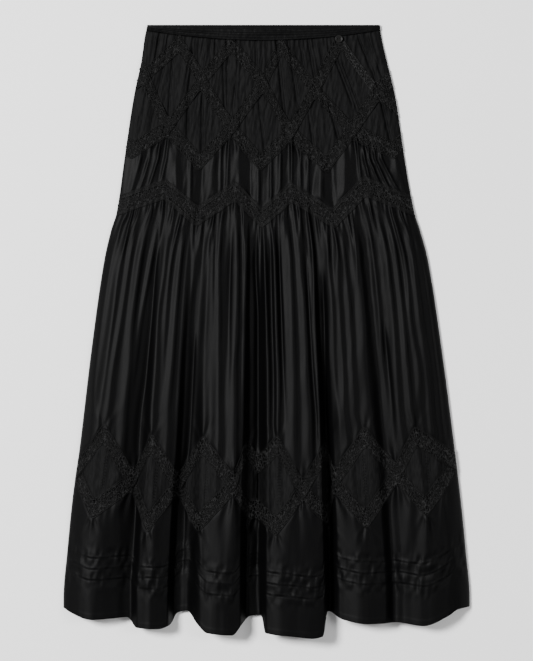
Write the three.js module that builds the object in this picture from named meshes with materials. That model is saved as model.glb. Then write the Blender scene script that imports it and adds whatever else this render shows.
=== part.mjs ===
// A long tiered skirt with lace insertions, laid flat on its back. Millimetres, +Z up, waist towards +Y.
// The front lies on the back. "down" is the distance below the top of the waist along the laid garment,
// and "across" is the share of its laid width, from 0 at the left edge to 1 at the right edge.
import * as THREE from 'three';

const LENGTH = 916.5;
const CLOTH = 1.5;
const LACE = 1.0;
const SEAM_GAP = 0.3;
const LACE_GAP = 0.6;
const LACE_CLEARANCE = 4;
const WAISTBAND_WALL = 2.5;
const BAND_CROWN = 0.5;

const YOKE_LACE_WIDTH = 28;
const HIP_LACE_WIDTH = 31;
const DIAMOND_LACE_WIDTH = 31;

// Shares of the width: where two stops count as one, and how far an inset ends from its corners, less at
// one that lies open in a fold.
const NEAREST = 0.001;
const INSET_END = 0.006;
const FOLDED_INSET_END = 0.0012;

const BUTTON_CLEARANCE = 2.9;
const BUTTON = { across: 0.818, down: 22, radius: 5.5, thick: 2.4, hole: 0.8, holeSpacing: 2.6 };
const TUCKS_ABOVE_HEM = [93, 76.5, 60];
const TUCK = { depth: 6, rise: 1.8, drop: 0.9 };

// Laid width: left and right edges at each distance below the waist.
const OUTLINE = [
  { down: 0, left: -178.5, right: 169.5 },
  { down: 21, left: -183, right: 172.5 },
  { down: 51, left: -186, right: 180 },
  { down: 111, left: -199.5, right: 193.5 },
  { down: 201, left: -213, right: 207 },
  { down: 283, left: -225, right: 222 },
  { down: 306, left: -232.5, right: 229.5 },
  { down: 351, left: -243, right: 241.5 },
  { down: 486, left: -262.5, right: 262.5 },
  { down: 636, left: -280.5, right: 282 },
  { down: 711, left: -291, right: 291 },
  { down: 786, left: -298.5, right: 298.5 },
  { down: 861, left: -304.5, right: 304.5 },
];

// Centre lines of the lace bands, as [across, down] at each corner.
const YOKE_LACE_TOP = [
  [0, 66], [0.025, 76.5], [0.147, 28.5], [0.253, 82.5], [0.363, 28.5], [0.494, 87],
  [0.572, 31.5], [0.691, 96], [0.82, 24], [0.933, 100.5], [1, 81],
];
const YOKE_LACE_MIDDLE = [
  [0, 85.5], [0.025, 76.5], [0.144, 154.5], [0.253, 82.5], [0.376, 154.5], [0.494, 87],
  [0.594, 162], [0.691, 96], [0.819, 159], [0.933, 100.5], [1, 126],
];
const YOKE_LACE_BOTTOM = [
  [0, 183], [0.025, 188], [0.144, 154.5], [0.267, 206], [0.376, 154.5], [0.484, 206],
  [0.594, 162], [0.719, 209], [0.819, 159], [0.961, 188], [1, 174],
];
const HIP_LACE = [
  [0, 272], [0.153, 247], [0.273, 287], [0.397, 249], [0.487, 290],
  [0.59, 251], [0.725, 290], [0.845, 242], [1, 272],
];

// The row of diamonds. Each has its left corner as [across, down of the upper lace, down of the lower lace],
// then its top and its bottom as [across, down]. The laces meet at every corner but the fifth, which lies
// hidden in a fold, and the sixth diamond's tips stand close to the fold at its right.
const DIAMONDS = [
  { corner: [0, 669, 669], top: [0.061, 610.5], bottom: [0.057, 726] },
  { corner: [0.152, 682.5, 682.5], top: [0.19, 625.5], bottom: [0.198, 747] },
  { corner: [0.27, 687, 687], top: [0.328, 628.5], bottom: [0.326, 745.5] },
  { corner: [0.415, 687, 687], top: [0.447, 633], bottom: [0.454, 727.5] },
  { corner: [0.476, 660, 723], top: [0.528, 627], bottom: [0.524, 750] },
  { corner: [0.592, 696, 696], top: [0.66, 633], bottom: [0.66, 738] },
  { corner: [0.671, 682.5, 682.5], top: [0.762, 615], bottom: [0.751, 740] },
  { corner: [0.838, 672, 672], top: [0.897, 615], bottom: [0.905, 721.5] },
];
const LAST_CORNER = [1, 654, 654];

// The front hem, which swings lower on each flute.
const HEM = [
  [0, 873], [0.022, 880.5], [0.071, 889.5], [0.158, 886.5], [0.182, 901.5], [0.232, 903], [0.264, 897],
  [0.281, 880.5], [0.305, 877.5], [0.33, 895.5], [0.355, 909], [0.416, 912], [0.441, 895.5], [0.461, 885],
  [0.49, 884], [0.497, 910.5], [0.564, 913.5], [0.613, 916.5], [0.638, 913.5], [0.65, 877.5], [0.687, 889.5],
  [0.749, 895.5], [0.823, 894], [0.884, 898.5], [0.946, 883.5], [0.97, 874.5], [1, 871.5],
];
const BACK_HEM = [[0, 869], [0.5, 873], [1, 869]];

// Flutes at the hem: height of the cloth at each crest and each valley.
const FLUTES = [
  [0, 16], [0.079, 30], [0.165, 16], [0.217, 34], [0.284, 6], [0.387, 38], [0.456, 6],
  [0.485, 6], [0.54, 40], [0.6, 40], [0.655, 6], [0.739, 34], [0.815, 16], [0.909, 32], [1, 14],
];

// Crests of the folds that run down the gathered tier. Two gathers at the seams merge into each fold.
const FOLD_CRESTS = [
  0.03, 0.068, 0.096, 0.122, 0.155, 0.185, 0.218, 0.25, 0.285, 0.322, 0.35, 0.38, 0.415, 0.445,
  0.505, 0.536, 0.57, 0.612, 0.641, 0.7, 0.738, 0.79, 0.829, 0.862, 0.896, 0.925, 0.955,
];

// How high the front lies, and how deep its gathers and folds are, down the garment.
const RELIEF = [
  { down: 0, loft: 2.5, gather: 0.5, fold: 0, flute: 0, edge: 14 },
  { down: 24, loft: 4, gather: 1.2, fold: 0.2, flute: 0, edge: 16 },
  { down: 120, loft: 6, gather: 0.9, fold: 0.5, flute: 0, edge: 20 },
  { down: 205, loft: 7, gather: 0.6, fold: 1, flute: 0, edge: 22 },
  { down: 290, loft: 9, gather: 1.3, fold: 0.8, flute: 0.08, edge: 24 },
  { down: 345, loft: 11, gather: 0.9, fold: 2.4, flute: 0.16, edge: 28 },
  { down: 430, loft: 12, gather: 0, fold: 3.4, flute: 0.32, edge: 30 },
  { down: 600, loft: 13, gather: 0, fold: 2.2, flute: 0.62, edge: 32 },
  { down: 740, loft: 13, gather: 0, fold: 1.2, flute: 0.86, edge: 34 },
  { down: 917, loft: 13, gather: 0, fold: 0.6, flute: 1, edge: 36 },
];

const SATIN = new THREE.MeshStandardMaterial({ color: 0x0c0c0d, roughness: 0.42, metalness: 0 });
const VOILE = new THREE.MeshStandardMaterial({ color: 0x0b0b0b, roughness: 0.85, metalness: 0 });
const LACE_CLOTH = new THREE.MeshStandardMaterial({ color: 0x101010, roughness: 0.9, metalness: 0 });
const HORN = new THREE.MeshStandardMaterial({ color: 0x0a0a0a, roughness: 0.35, metalness: 0 });

function range(count) {
  return Array.from({ length: count }, (_, i) => i);
}

// Where value lies in a rising list of stops: the interval's number and the share of it passed.
function place(stops, value) {
  let i = 0;
  while (i < stops.length - 2 && value > stops[i + 1]) i += 1;
  const share = (value - stops[i]) / (stops[i + 1] - stops[i]);
  return { i, share: Math.min(Math.max(share, 0), 1) };
}

function along(table, value) {
  const { i, share } = place(table.map((row) => row[0]), value);
  return table[i][1] + (table[i + 1][1] - table[i][1]) * share;
}

function column(table, name, down) {
  const { i, share } = place(table.map((row) => row.down), down);
  return table[i][name] + (table[i + 1][name] - table[i][name]) * share;
}

// As along, with a rounded crest and valley at each stop.
function rolling(table, value) {
  const { i, share } = place(table.map((row) => row[0]), value);
  const eased = (1 - Math.cos(Math.PI * share)) / 2;
  return table[i][1] + (table[i + 1][1] - table[i][1]) * eased;
}

const LAST_FOLD = FOLD_CRESTS.length;
const FOLD_STOPS = [0, ...FOLD_CRESTS, 1];

// Counts folds from the left edge: a whole number on each crest, and a half in each valley.
function foldPhase(across) {
  const { i, share } = place(FOLD_STOPS, across);
  return i + share;
}

function acrossAtPhase(phase) {
  const i = Math.min(Math.floor(phase), LAST_FOLD);
  return FOLD_STOPS[i] + (FOLD_STOPS[i + 1] - FOLD_STOPS[i]) * (phase - i);
}

function laidX(across, down) {
  const left = column(OUTLINE, 'left', down);
  return left + (column(OUTLINE, 'right', down) - left) * across;
}

function laidY(down) {
  return LENGTH / 2 - down;
}

// Height of the front's inner face above the back: the sides turn down to the back all along the edge.
function rise(across, down) {
  const width = laidX(1, down) - laidX(0, down);
  const edge = Math.min((Math.min(across, 1 - across) * width) / column(RELIEF, 'edge', down), 1);
  const turned = Math.sqrt(1 - (1 - edge) ** 2);
  const phase = foldPhase(across);
  const flute = column(RELIEF, 'flute', down);
  const body = column(RELIEF, 'loft', down) * (1 - flute) + rolling(FLUTES, across) * flute;
  const fold = column(RELIEF, 'fold', down) * Math.cos(2 * Math.PI * phase);
  const gather = column(RELIEF, 'gather', down) * Math.cos(4 * Math.PI * phase);
  return turned * Math.max(body + fold + gather, 1);
}

// Thickness measured upright that keeps a wall's true thickness where it slopes.
function upright(wall, across, down) {
  const step = 1;
  const width = laidX(1, down) - laidX(0, down);
  const shift = step / width;
  const low = Math.max(across - shift, 0);
  const high = Math.min(across + shift, 1);
  const slopeX = (rise(high, down) - rise(low, down)) / ((high - low) * width);
  const slopeY = (rise(across, down + step) - rise(across, down - step)) / (2 * step);
  return wall * Math.min(Math.hypot(1, slopeX, slopeY), 3);
}

// One point of a front panel, on its inner and its outer face.
function frontPoint(across, down, { under = CLOTH, wall = CLOTH, ridge = 0 }) {
  const x = laidX(across, down);
  const y = laidY(down);
  const low = under + SEAM_GAP + rise(across, down);
  return { across, low: [x, y, low], high: [x, y, low + upright(wall, across, down) + ridge] };
}

// A closed wall through lines of points that run across it, the topmost line first. Neighbouring lines
// may have different numbers of points.
function wallBetween(lines) {
  const positions = [];
  const indices = [];
  const starts = [];
  let count = 0;
  for (const line of lines) {
    starts.push(count);
    for (const point of line) positions.push(...point.low, ...point.high);
    count += line.length * 2;
  }
  const low = (line, i) => starts[line] + 2 * i;
  const high = (line, i) => starts[line] + 2 * i + 1;
  for (let line = 0; line < lines.length - 1; line += 1) {
    const above = lines[line];
    const below = lines[line + 1];
    let a = 0;
    let b = 0;
    while (a < above.length - 1 || b < below.length - 1) {
      const nextAbove = a < above.length - 1 ? above[a + 1].across : Infinity;
      const nextBelow = b < below.length - 1 ? below[b + 1].across : Infinity;
      if (nextAbove <= nextBelow) {
        indices.push(high(line, a), high(line + 1, b), high(line, a + 1));
        indices.push(low(line, a), low(line, a + 1), low(line + 1, b));
        a += 1;
      } else {
        indices.push(high(line, a), high(line + 1, b), high(line + 1, b + 1));
        indices.push(low(line, a), low(line + 1, b + 1), low(line + 1, b));
        b += 1;
      }
    }
    const endA = above.length - 1;
    const endB = below.length - 1;
    indices.push(low(line, 0), low(line + 1, 0), high(line + 1, 0));
    indices.push(low(line, 0), high(line + 1, 0), high(line, 0));
    indices.push(low(line, endA), high(line, endA), high(line + 1, endB));
    indices.push(low(line, endA), high(line + 1, endB), low(line + 1, endB));
  }
  const last = lines.length - 1;
  for (let i = 0; i < lines[0].length - 1; i += 1) {
    indices.push(low(0, i), high(0, i), high(0, i + 1), low(0, i), high(0, i + 1), low(0, i + 1));
  }
  for (let i = 0; i < lines[last].length - 1; i += 1) {
    indices.push(low(last, i), low(last, i + 1), high(last, i + 1));
    indices.push(low(last, i), high(last, i + 1), high(last, i));
  }
  const geometry = new THREE.BufferGeometry();
  geometry.setAttribute('position', new THREE.Float32BufferAttribute(positions, 3));
  geometry.setIndex(indices);
  return geometry;
}

// A front panel, from its upper edge to its lower one. Each row has its columns, its distance down at
// each of them, and how far its outer face alone is raised.
function frontWall(rows, finish = {}) {
  return wallBetween(rows.map(({ down, columns, ridge = 0 }) => (
    columns.map((across) => frontPoint(across, down(across), { ...finish, ridge }))
  )));
}

const blend = (from, to, share) => from.map((value, axis) => value + (to[axis] - value) * share);

// The point of a panel's outer face on one of its rows.
function rowPoint(row, across) {
  const { i, share } = place(row.columns, across);
  const [from, to] = [row.columns[i], row.columns[i + 1]].map((stop) => (
    frontPoint(stop, row.down(stop), { ridge: row.ridge ?? 0 }).high
  ));
  return blend(from, to, share);
}

// The point of the outer face of the panels whose rows are listed in order down the garment.
function skinPoint(rows, across, down) {
  const { i, share } = place(rows.map((row) => row.down(across)), down);
  return blend(rowPoint(rows[i], across), rowPoint(rows[i + 1], across), share);
}

// The two edge lines of a lace band over the panels, made from their own points moved out. The band
// clears each fold that it crosses, and lies over the other bands that it is given.
function laceLines({ rows, centre, width, columns, over = [] }) {
  const samples = range(9).map((i) => i / 8);
  const lines = [[], []];
  for (const across of columns) {
    const top = Math.max(along(centre, across) - width / 2, underBand(across));
    const bottom = along(centre, across) + width / 2;
    const under = samples.map((share) => skinPoint(rows, across, top + (bottom - top) * share));
    const ends = [under[0], under[samples.length - 1]];
    const bulges = under.map((point, i) => point[2] - blend(...ends, samples[i])[2]);
    [top, bottom].forEach((down, i) => {
      const [x, y, z] = ends[i];
      const low = z + Math.max(...bulges) + LACE_GAP;
      lines[i].push({ across, down, low: [x, y, low], high: [x, y, low + upright(LACE, across, down)] });
    });
  }
  const needed = columns.map((_, k) => Math.max(0, ...over.map((other) => overlapHeight(lines, other, k))));
  lines.forEach((points) => points.forEach((point, k) => {
    const lift = Math.max(needed[Math.max(k - 1, 0)], needed[k], needed[Math.min(k + 1, columns.length - 1)]);
    point.low[2] += lift;
    point.high[2] += lift;
  }));
  return lines;
}

// How far a band has to rise at one column to lie over another, or 0 where they are well apart.
function overlapHeight([top, bottom], [otherTop, otherBottom], k) {
  const apart = Math.max(top[k].down - otherBottom[k].down, otherTop[k].down - bottom[k].down);
  if (apart > LACE_CLEARANCE) return 0;
  const otherHigh = Math.max(otherTop[k].high[2], otherBottom[k].high[2]);
  return otherHigh + SEAM_GAP - Math.min(top[k].low[2], bottom[k].low[2]);
}

// The outline of a flat panel between two edges given as down(across), with the garment's own sides.
function flatOutline({ upper, lower, stops, lowerStops = stops }) {
  const at = (across, down) => new THREE.Vector2(laidX(across, down), laidY(down));
  const side = (across) => OUTLINE
    .map((row) => row.down)
    .filter((down) => down > upper(across) + 1 && down < lower(across) - 1)
    .map((down) => at(across, down));
  const first = stops[0];
  const last = stops[stops.length - 1];
  return [
    ...stops.map((across) => at(across, upper(across))),
    ...(last === 1 ? side(1) : []),
    ...lowerStops.map((across) => at(across, lower(across))).reverse(),
    ...(first === 0 ? side(0).reverse() : []),
  ];
}

// A flat wall that lies on the surface.
function backWall(panel, wall = CLOTH) {
  const shape = new THREE.Shape(flatOutline(panel));
  return new THREE.ExtrudeGeometry(shape, { depth: wall, bevelEnabled: false });
}

const part = new THREE.Group();

function add(name, geometry, material) {
  const mesh = new THREE.Mesh(geometry, material);
  mesh.name = name;
  part.add(mesh);
}

// Rising stops, without those that nearly repeat the one before.
function tidyStops(stops) {
  const rising = [...stops].sort((a, b) => a - b);
  return rising.filter((stop, i) => i === 0 || stop - rising[i - 1] > NEAREST);
}

const line = (table, offset = 0) => (across) => along(table, across) + offset;
const between = (upper, lower, share) => (across) => upper(across) * (1 - share) + lower(across) * share;

const bow = (across) => 1 - (2 * across - 1) ** 2;
const bandTop = (across) => 0.5 + 6.2 * bow(across);
const bandBottom = (across) => 8.2 + 15.3 * bow(across);
const underBand = (across) => bandBottom(across) + SEAM_GAP;

const CORNERS = [...DIAMONDS.map((row) => row.corner), LAST_CORNER];
const UPPER_SEAM = [...CORNERS, ...DIAMONDS.map((row) => row.top)].sort((a, b) => a[0] - b[0]);
const LOWER_SEAM = [...CORNERS.map(([across, , down]) => [across, down]), ...DIAMONDS.map((row) => row.bottom)]
  .sort((a, b) => a[0] - b[0]);

const FINE = tidyStops(range(4 * (LAST_FOLD + 1) + 1).map((quarter) => acrossAtPhase(quarter / 4)));
const COARSE = tidyStops(range(2 * (LAST_FOLD + 1) + 1).map((half) => acrossAtPhase(half / 2)));
const insetEnd = ([, upper, lower]) => (upper === lower ? INSET_END : FOLDED_INSET_END);
const INSET_ENDS = DIAMONDS.map((row, i) => {
  const next = CORNERS[i + 1];
  return [row.corner[0] + insetEnd(row.corner), next[0] - insetEnd(next)];
});
const DIAMOND_STOPS = tidyStops([
  ...[...UPPER_SEAM, ...LOWER_SEAM].map(([across]) => across), ...INSET_ENDS.flat(), ...COARSE,
]);
const BAND = range(61).map((i) => i / 60);

// Waist: an elastic casing, with the button at the top of the lace diagonal.
add('waistband_front', frontWall([
  { down: bandTop, columns: BAND },
  { down: between(bandTop, bandBottom, 0.5), columns: BAND, ridge: BAND_CROWN },
  { down: bandBottom, columns: BAND },
], { under: WAISTBAND_WALL, wall: 2 }), SATIN);

// The rows of each front panel, in order down the garment.
const halfGap = SEAM_GAP / 2;
const upperSeam = (offset) => line(UPPER_SEAM, offset);
const lowerSeam = (offset) => line(LOWER_SEAM, offset);
const yokeBottom = line(YOKE_LACE_BOTTOM, -halfGap);
const hipTop = line(YOKE_LACE_BOTTOM, halfGap);
const hipBottom = line(HIP_LACE, -halfGap);
const tierTop = line(HIP_LACE, halfGap);
const tierBottom = upperSeam(-halfGap);
const insetTop = upperSeam(halfGap);
const insetBottom = lowerSeam(-halfGap);
const hemTierTop = lowerSeam(halfGap);
const hem = line(HEM);

const yokeRows = [
  { down: underBand, columns: FINE },
  { down: between(underBand, yokeBottom, 0.2), columns: FINE },
  { down: between(underBand, yokeBottom, 0.6), columns: FINE },
  { down: yokeBottom, columns: FINE },
];
const hipRows = [
  { down: hipTop, columns: FINE },
  { down: between(hipTop, hipBottom, 0.5), columns: FINE },
  { down: hipBottom, columns: FINE },
];
const tierRows = [
  { down: tierTop, columns: FINE },
  { down: between(tierTop, tierBottom, 0.12), columns: FINE },
  { down: between(tierTop, tierBottom, 0.26), columns: COARSE },
  { down: between(tierTop, tierBottom, 0.5), columns: COARSE },
  { down: between(tierTop, tierBottom, 0.75), columns: DIAMOND_STOPS },
  { down: tierBottom, columns: DIAMOND_STOPS },
];
const insetRows = (columns) => [
  { down: insetTop, columns },
  { down: between(insetTop, insetBottom, 0.5), columns },
  { down: insetBottom, columns },
];
const hemTierRows = [
  { down: hemTierTop, columns: DIAMOND_STOPS },
  { down: between(hemTierTop, hem, 0.15), columns: DIAMOND_STOPS },
  ...TUCKS_ABOVE_HEM.flatMap((above) => [
    { down: line(HEM, -above - TUCK.depth), columns: COARSE },
    { down: line(HEM, -above), columns: COARSE, ridge: TUCK.rise },
    { down: line(HEM, -above + TUCK.drop), columns: COARSE },
  ]),
  { down: hem, columns: COARSE },
];

// Yoke and its three rows of lace, the middle row lying over the other two where they cross.
const upperSkin = [...yokeRows, ...hipRows, ...tierRows.slice(0, 3)];
const yokeLace = (centre, over) => laceLines({
  rows: upperSkin, centre, width: YOKE_LACE_WIDTH, columns: FINE, over,
});
const yokeLaceTop = yokeLace(YOKE_LACE_TOP);
const yokeLaceBottom = yokeLace(YOKE_LACE_BOTTOM);
const yokeLaceMiddle = yokeLace(YOKE_LACE_MIDDLE, [yokeLaceTop, yokeLaceBottom]);
add('yoke_front', frontWall(yokeRows), VOILE);
add('yoke_lace_top', wallBetween(yokeLaceTop), LACE_CLOTH);
add('yoke_lace_middle', wallBetween(yokeLaceMiddle), LACE_CLOTH);
add('yoke_lace_bottom', wallBetween(yokeLaceBottom), LACE_CLOTH);

// Hip panel, cut in points above and below, and the lace over its seam to the gathered tier.
add('hip_panel_front', frontWall(hipRows), SATIN);
add('hip_lace_front', wallBetween(laceLines({
  rows: upperSkin, centre: HIP_LACE, width: HIP_LACE_WIDTH, columns: FINE,
})), LACE_CLOTH);

// Gathered tier and hem tier.
add('tier_front', frontWall(tierRows), SATIN);
add('hem_tier_front', frontWall(hemTierRows), SATIN);

// Diamond insets, each ending just short of its two corners, and the two rows of lace round them.
INSET_ENDS.forEach(([from, to], i) => {
  const columns = DIAMOND_STOPS.filter((stop) => stop > from - NEAREST && stop < to + NEAREST);
  add(`diamond_inset_${i + 1}`, frontWall(insetRows(columns)), VOILE);
});
const lowerSkin = [...tierRows.slice(3), ...insetRows(DIAMOND_STOPS), ...hemTierRows.slice(0, 3)];
const diamondLace = (centre, over) => laceLines({
  rows: lowerSkin, centre, width: DIAMOND_LACE_WIDTH, columns: DIAMOND_STOPS, over,
});
const diamondLaceLower = diamondLace(LOWER_SEAM);
add('diamond_lace_lower', wallBetween(diamondLaceLower), LACE_CLOTH);
add('diamond_lace_upper', wallBetween(diamondLace(UPPER_SEAM, [diamondLaceLower])), LACE_CLOTH);

// The back, flat under the front, cut and joined as the front is.
const stopsOf = (...tables) => tables.flat().map(([across]) => across);
const WAIST_STOPS = range(21).map((i) => i / 20);
const HIP_STOPS = tidyStops([...stopsOf(YOKE_LACE_BOTTOM, HIP_LACE), ...WAIST_STOPS]);
const HEM_STOPS = tidyStops(stopsOf(UPPER_SEAM, LOWER_SEAM, BACK_HEM));
const hipLaceEdge = HIP_LACE_WIDTH / 2;
const diamondLaceEdge = DIAMOND_LACE_WIDTH / 2;

add('waistband_back', backWall(
  { upper: () => 0, lower: bandBottom, stops: WAIST_STOPS }, WAISTBAND_WALL,
), SATIN);
add('yoke_back', backWall({
  upper: underBand, lower: yokeBottom, stops: WAIST_STOPS, lowerStops: HIP_STOPS,
}), VOILE);
add('hip_panel_back', backWall({
  upper: hipTop, lower: line(HIP_LACE, -hipLaceEdge - SEAM_GAP), stops: HIP_STOPS,
}), SATIN);
add('hip_lace_back', backWall({
  upper: line(HIP_LACE, -hipLaceEdge), lower: line(HIP_LACE, hipLaceEdge), stops: HIP_STOPS,
}), LACE_CLOTH);
add('tier_back', backWall({
  upper: line(HIP_LACE, hipLaceEdge + SEAM_GAP), lower: upperSeam(-diamondLaceEdge - SEAM_GAP),
  stops: HIP_STOPS, lowerStops: HEM_STOPS,
}), SATIN);
add('diamond_band_back', backWall({
  upper: upperSeam(-diamondLaceEdge), lower: lowerSeam(diamondLaceEdge), stops: HEM_STOPS,
}), LACE_CLOTH);
add('hem_tier_back', backWall({
  upper: lowerSeam(diamondLaceEdge + SEAM_GAP), lower: line(BACK_HEM), stops: HEM_STOPS,
}), SATIN);

// The button: a small flat disc with two holes, just under the waistband.
function button() {
  const disc = new THREE.Shape().absarc(0, 0, BUTTON.radius, 0, 2 * Math.PI);
  for (const side of [-1, 1]) {
    const hole = new THREE.Path().absarc((side * BUTTON.holeSpacing) / 2, 0, BUTTON.hole, 0, 2 * Math.PI, true);
    disc.holes.push(hole);
  }
  return new THREE.ExtrudeGeometry(disc, { depth: BUTTON.thick, bevelEnabled: false, curveSegments: 10 });
}
add('button', button(), HORN);
const [seatX, seatY, seatZ] = skinPoint(yokeRows, BUTTON.across, BUTTON.down);
part.getObjectByName('button').position.set(seatX, seatY, seatZ + LACE + BUTTON_CLEARANCE);

export default part;
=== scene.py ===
"""A long black tiered skirt with lace insertions, laid flat on its back.

The cloth is worked out on two coordinates. "across" is the share of the garment's laid width, from 0 at its
left edge to 1 at its right edge, and "down" is the distance below the top of the waist, in millimetres.
"""

from __future__ import annotations

import logging
import math
from dataclasses import dataclass
from enum import Enum
from typing import Callable, Sequence

import bmesh
import bpy
import numpy as np
from mathutils import Matrix, Vector


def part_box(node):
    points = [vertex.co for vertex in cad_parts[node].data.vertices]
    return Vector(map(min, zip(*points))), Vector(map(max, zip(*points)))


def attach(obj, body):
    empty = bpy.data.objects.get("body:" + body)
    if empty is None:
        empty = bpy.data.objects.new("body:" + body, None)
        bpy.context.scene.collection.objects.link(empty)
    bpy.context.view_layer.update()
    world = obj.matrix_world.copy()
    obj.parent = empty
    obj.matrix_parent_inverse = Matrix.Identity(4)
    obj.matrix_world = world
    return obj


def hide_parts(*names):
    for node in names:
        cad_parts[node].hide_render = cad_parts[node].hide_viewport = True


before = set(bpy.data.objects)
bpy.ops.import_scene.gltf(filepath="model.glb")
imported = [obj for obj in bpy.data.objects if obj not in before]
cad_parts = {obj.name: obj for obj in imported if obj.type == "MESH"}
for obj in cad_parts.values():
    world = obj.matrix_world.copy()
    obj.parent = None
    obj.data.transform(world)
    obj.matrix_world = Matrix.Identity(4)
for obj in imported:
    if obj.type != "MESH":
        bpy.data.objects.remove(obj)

LOG = logging.getLogger("skirt")
MM = 0.001
BODY = "root"
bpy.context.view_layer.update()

Array = np.ndarray
Edge = Callable[[Array], Array]
Table = Sequence[tuple[float, float]]
Colour = tuple[float, float, float]
Piece = bpy.types.Object
Material = bpy.types.Material
Ring = list[bmesh.types.BMVert]


def linear(table: Table) -> Edge:
    """Make a line of straight stretches through the table's points.

    Args:
        table: Rising places and the value at each.

    Returns:
        A function of the place that takes and gives arrays.
    """
    places, values = np.array(table, float).T
    return lambda where: np.interp(where, places, values)


def rounded(table: Table, reach: float) -> Edge:
    """Make a line of straight stretches whose corners are rounded within a reach."""
    straight = linear(table)
    offsets = np.linspace(-reach, reach, 5)
    return lambda where: sum(straight(where + offset) for offset in offsets) / len(offsets)


def smooth(table: Table) -> Edge:
    """Make a curve through the table's points that never swings past them.

    Args:
        table: Rising places and the value at each.

    Returns:
        A function of the place that takes and gives arrays.
    """
    places, values = np.array(table, float).T
    steps = np.diff(places)
    slopes = np.diff(values) / steps
    tangents = np.zeros(len(places))
    same_way = slopes[:-1] * slopes[1:] > 0
    tangents[1:-1][same_way] = 2 / (1 / slopes[:-1][same_way] + 1 / slopes[1:][same_way])
    tangents[0], tangents[-1] = slopes[0], slopes[-1]

    def curve(where: Array) -> Array:
        inside = np.clip(where, places[0], places[-1])
        i = np.clip(np.searchsorted(places, inside, side="right") - 1, 0, len(steps) - 1)
        t = (inside - places[i]) / steps[i]
        rest = 1 - t
        ends = values[i] * (1 + 2 * t) * rest**2 + values[i + 1] * t**2 * (3 - 2 * t)
        turns = steps[i] * (tangents[i] * t * rest**2 - tangents[i + 1] * t**2 * rest)
        return ends + turns

    return curve


def shifted(edge: Edge, offset: float) -> Edge:
    """Give an edge moved down by an offset."""
    return lambda across: edge(across) + offset


def ease(share: Array) -> Array:
    """Ease a share from 0 to 1, held at both ends."""
    held = np.clip(share, 0, 1)
    return held * held * (3 - 2 * held)


def lattice(line: Array, shares: Array) -> tuple[Array, Array]:
    """Give the place across and the share down of every point of a grid."""
    across, down = np.meshgrid(line, shares)
    return across, down


def put(name: str, data: bpy.types.ID) -> Piece:
    """Make an object of a mesh, a camera or a light, and put it in the scene."""
    made = bpy.data.objects.new(name, data)
    bpy.context.scene.collection.objects.link(made)
    return made


def wander(seed: int, count: int = 9) -> Edge:
    """Make a slow random line of fixed seed, for the unevenness of hand gathering.

    Args:
        seed: Seed of the draw.
        count: Number of evenly spaced stops between 0 and 1.

    Returns:
        A function of shares from 0 to 1, whose values go from -1 to 1.
    """
    values = np.random.default_rng(seed).uniform(-1, 1, count)
    return smooth(list(zip(np.linspace(0, 1, count), values)))


class Grain:
    """Smooth noise on two coordinates, of fixed seed."""

    def __init__(self, seed: int, size: int) -> None:
        """Draw a tile of values that repeats.

        Args:
            seed: Seed of the draw.
            size: Cells along each side of the tile.
        """
        self.size = size
        self.values = np.random.default_rng(seed).uniform(-1, 1, (size, size))

    def __call__(self, a: Array, b: Array) -> Array:
        """Give the noise, from -1 to 1, at places in cells of the tile."""
        i, j = np.floor(a).astype(int), np.floor(b).astype(int)
        s, t = ease(a - i), ease(b - j)
        i0, i1, j0, j1 = i % self.size, (i + 1) % self.size, j % self.size, (j + 1) % self.size
        v = self.values
        near = v[i0, j0] * (1 - s) + v[i1, j0] * s
        far = v[i0, j1] * (1 - s) + v[i1, j1] * s
        return near * (1 - t) + far * t

    def line(self, along: Array, row: float) -> Array:
        """Give the noise along one row of the tile."""
        return self(along, np.full_like(along, row))


GRAIN = Grain(11, 256)


@dataclass(frozen=True)
class Outline:
    """The laid garment's outer shape, in millimetres."""

    length: float = 916.5
    left: Edge = smooth([
        (0, -178.5), (21, -183), (51, -187), (111, -199.5), (201, -213), (283, -225), (306, -232.5),
        (351, -243), (486, -262.5), (636, -280.5), (711, -291), (786, -298.5), (861, -304.5), (917, -304.5),
    ])
    right: Edge = smooth([
        (0, 169.5), (21, 172.5), (51, 179.5), (111, 193.5), (201, 207), (283, 222), (306, 229.5),
        (351, 241.5), (486, 262.5), (636, 282), (711, 291), (786, 298.5), (861, 304.5), (917, 304.5),
    ])

    def x(self, across: Array, down: Array) -> Array:
        """Give the place to the right of the garment's middle."""
        left = self.left(down)
        return left + (self.right(down) - left) * across

    def y(self, down: Array) -> Array:
        """Give the place above the garment's middle."""
        return self.length / 2 - down

    def width(self, down: Array) -> Array:
        """Give the laid width."""
        return self.right(down) - self.left(down)


OUTLINE = Outline()


class Band(Enum):
    """The lace bands, by what they join or lie on."""

    YOKE_TOP = "yoke_lace_top"
    YOKE_MIDDLE = "yoke_lace_middle"
    YOKE_BOTTOM = "yoke_lace_bottom"
    HIP = "hip_lace_front"
    DIAMOND_UPPER = "diamond_lace_upper"
    DIAMOND_LOWER = "diamond_lace_lower"


DIAMOND_CORNERS = [
    (0.0, 669.0, 669.0), (0.152, 682.5, 682.5), (0.27, 687.0, 687.0), (0.415, 687.0, 687.0),
    (0.476, 660.0, 723.0), (0.592, 696.0, 696.0), (0.671, 682.5, 682.5), (0.838, 672.0, 672.0),
    (1.0, 654.0, 654.0),
]
DIAMOND_TOPS = [
    (0.061, 610.5), (0.19, 625.5), (0.328, 628.5), (0.447, 633.0),
    (0.528, 627.0), (0.66, 633.0), (0.762, 615.0), (0.897, 615.0),
]
DIAMOND_BOTTOMS = [
    (0.057, 726.0), (0.198, 747.0), (0.326, 745.5), (0.454, 727.5),
    (0.524, 750.0), (0.66, 738.0), (0.751, 740.0), (0.905, 721.5),
]


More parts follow.
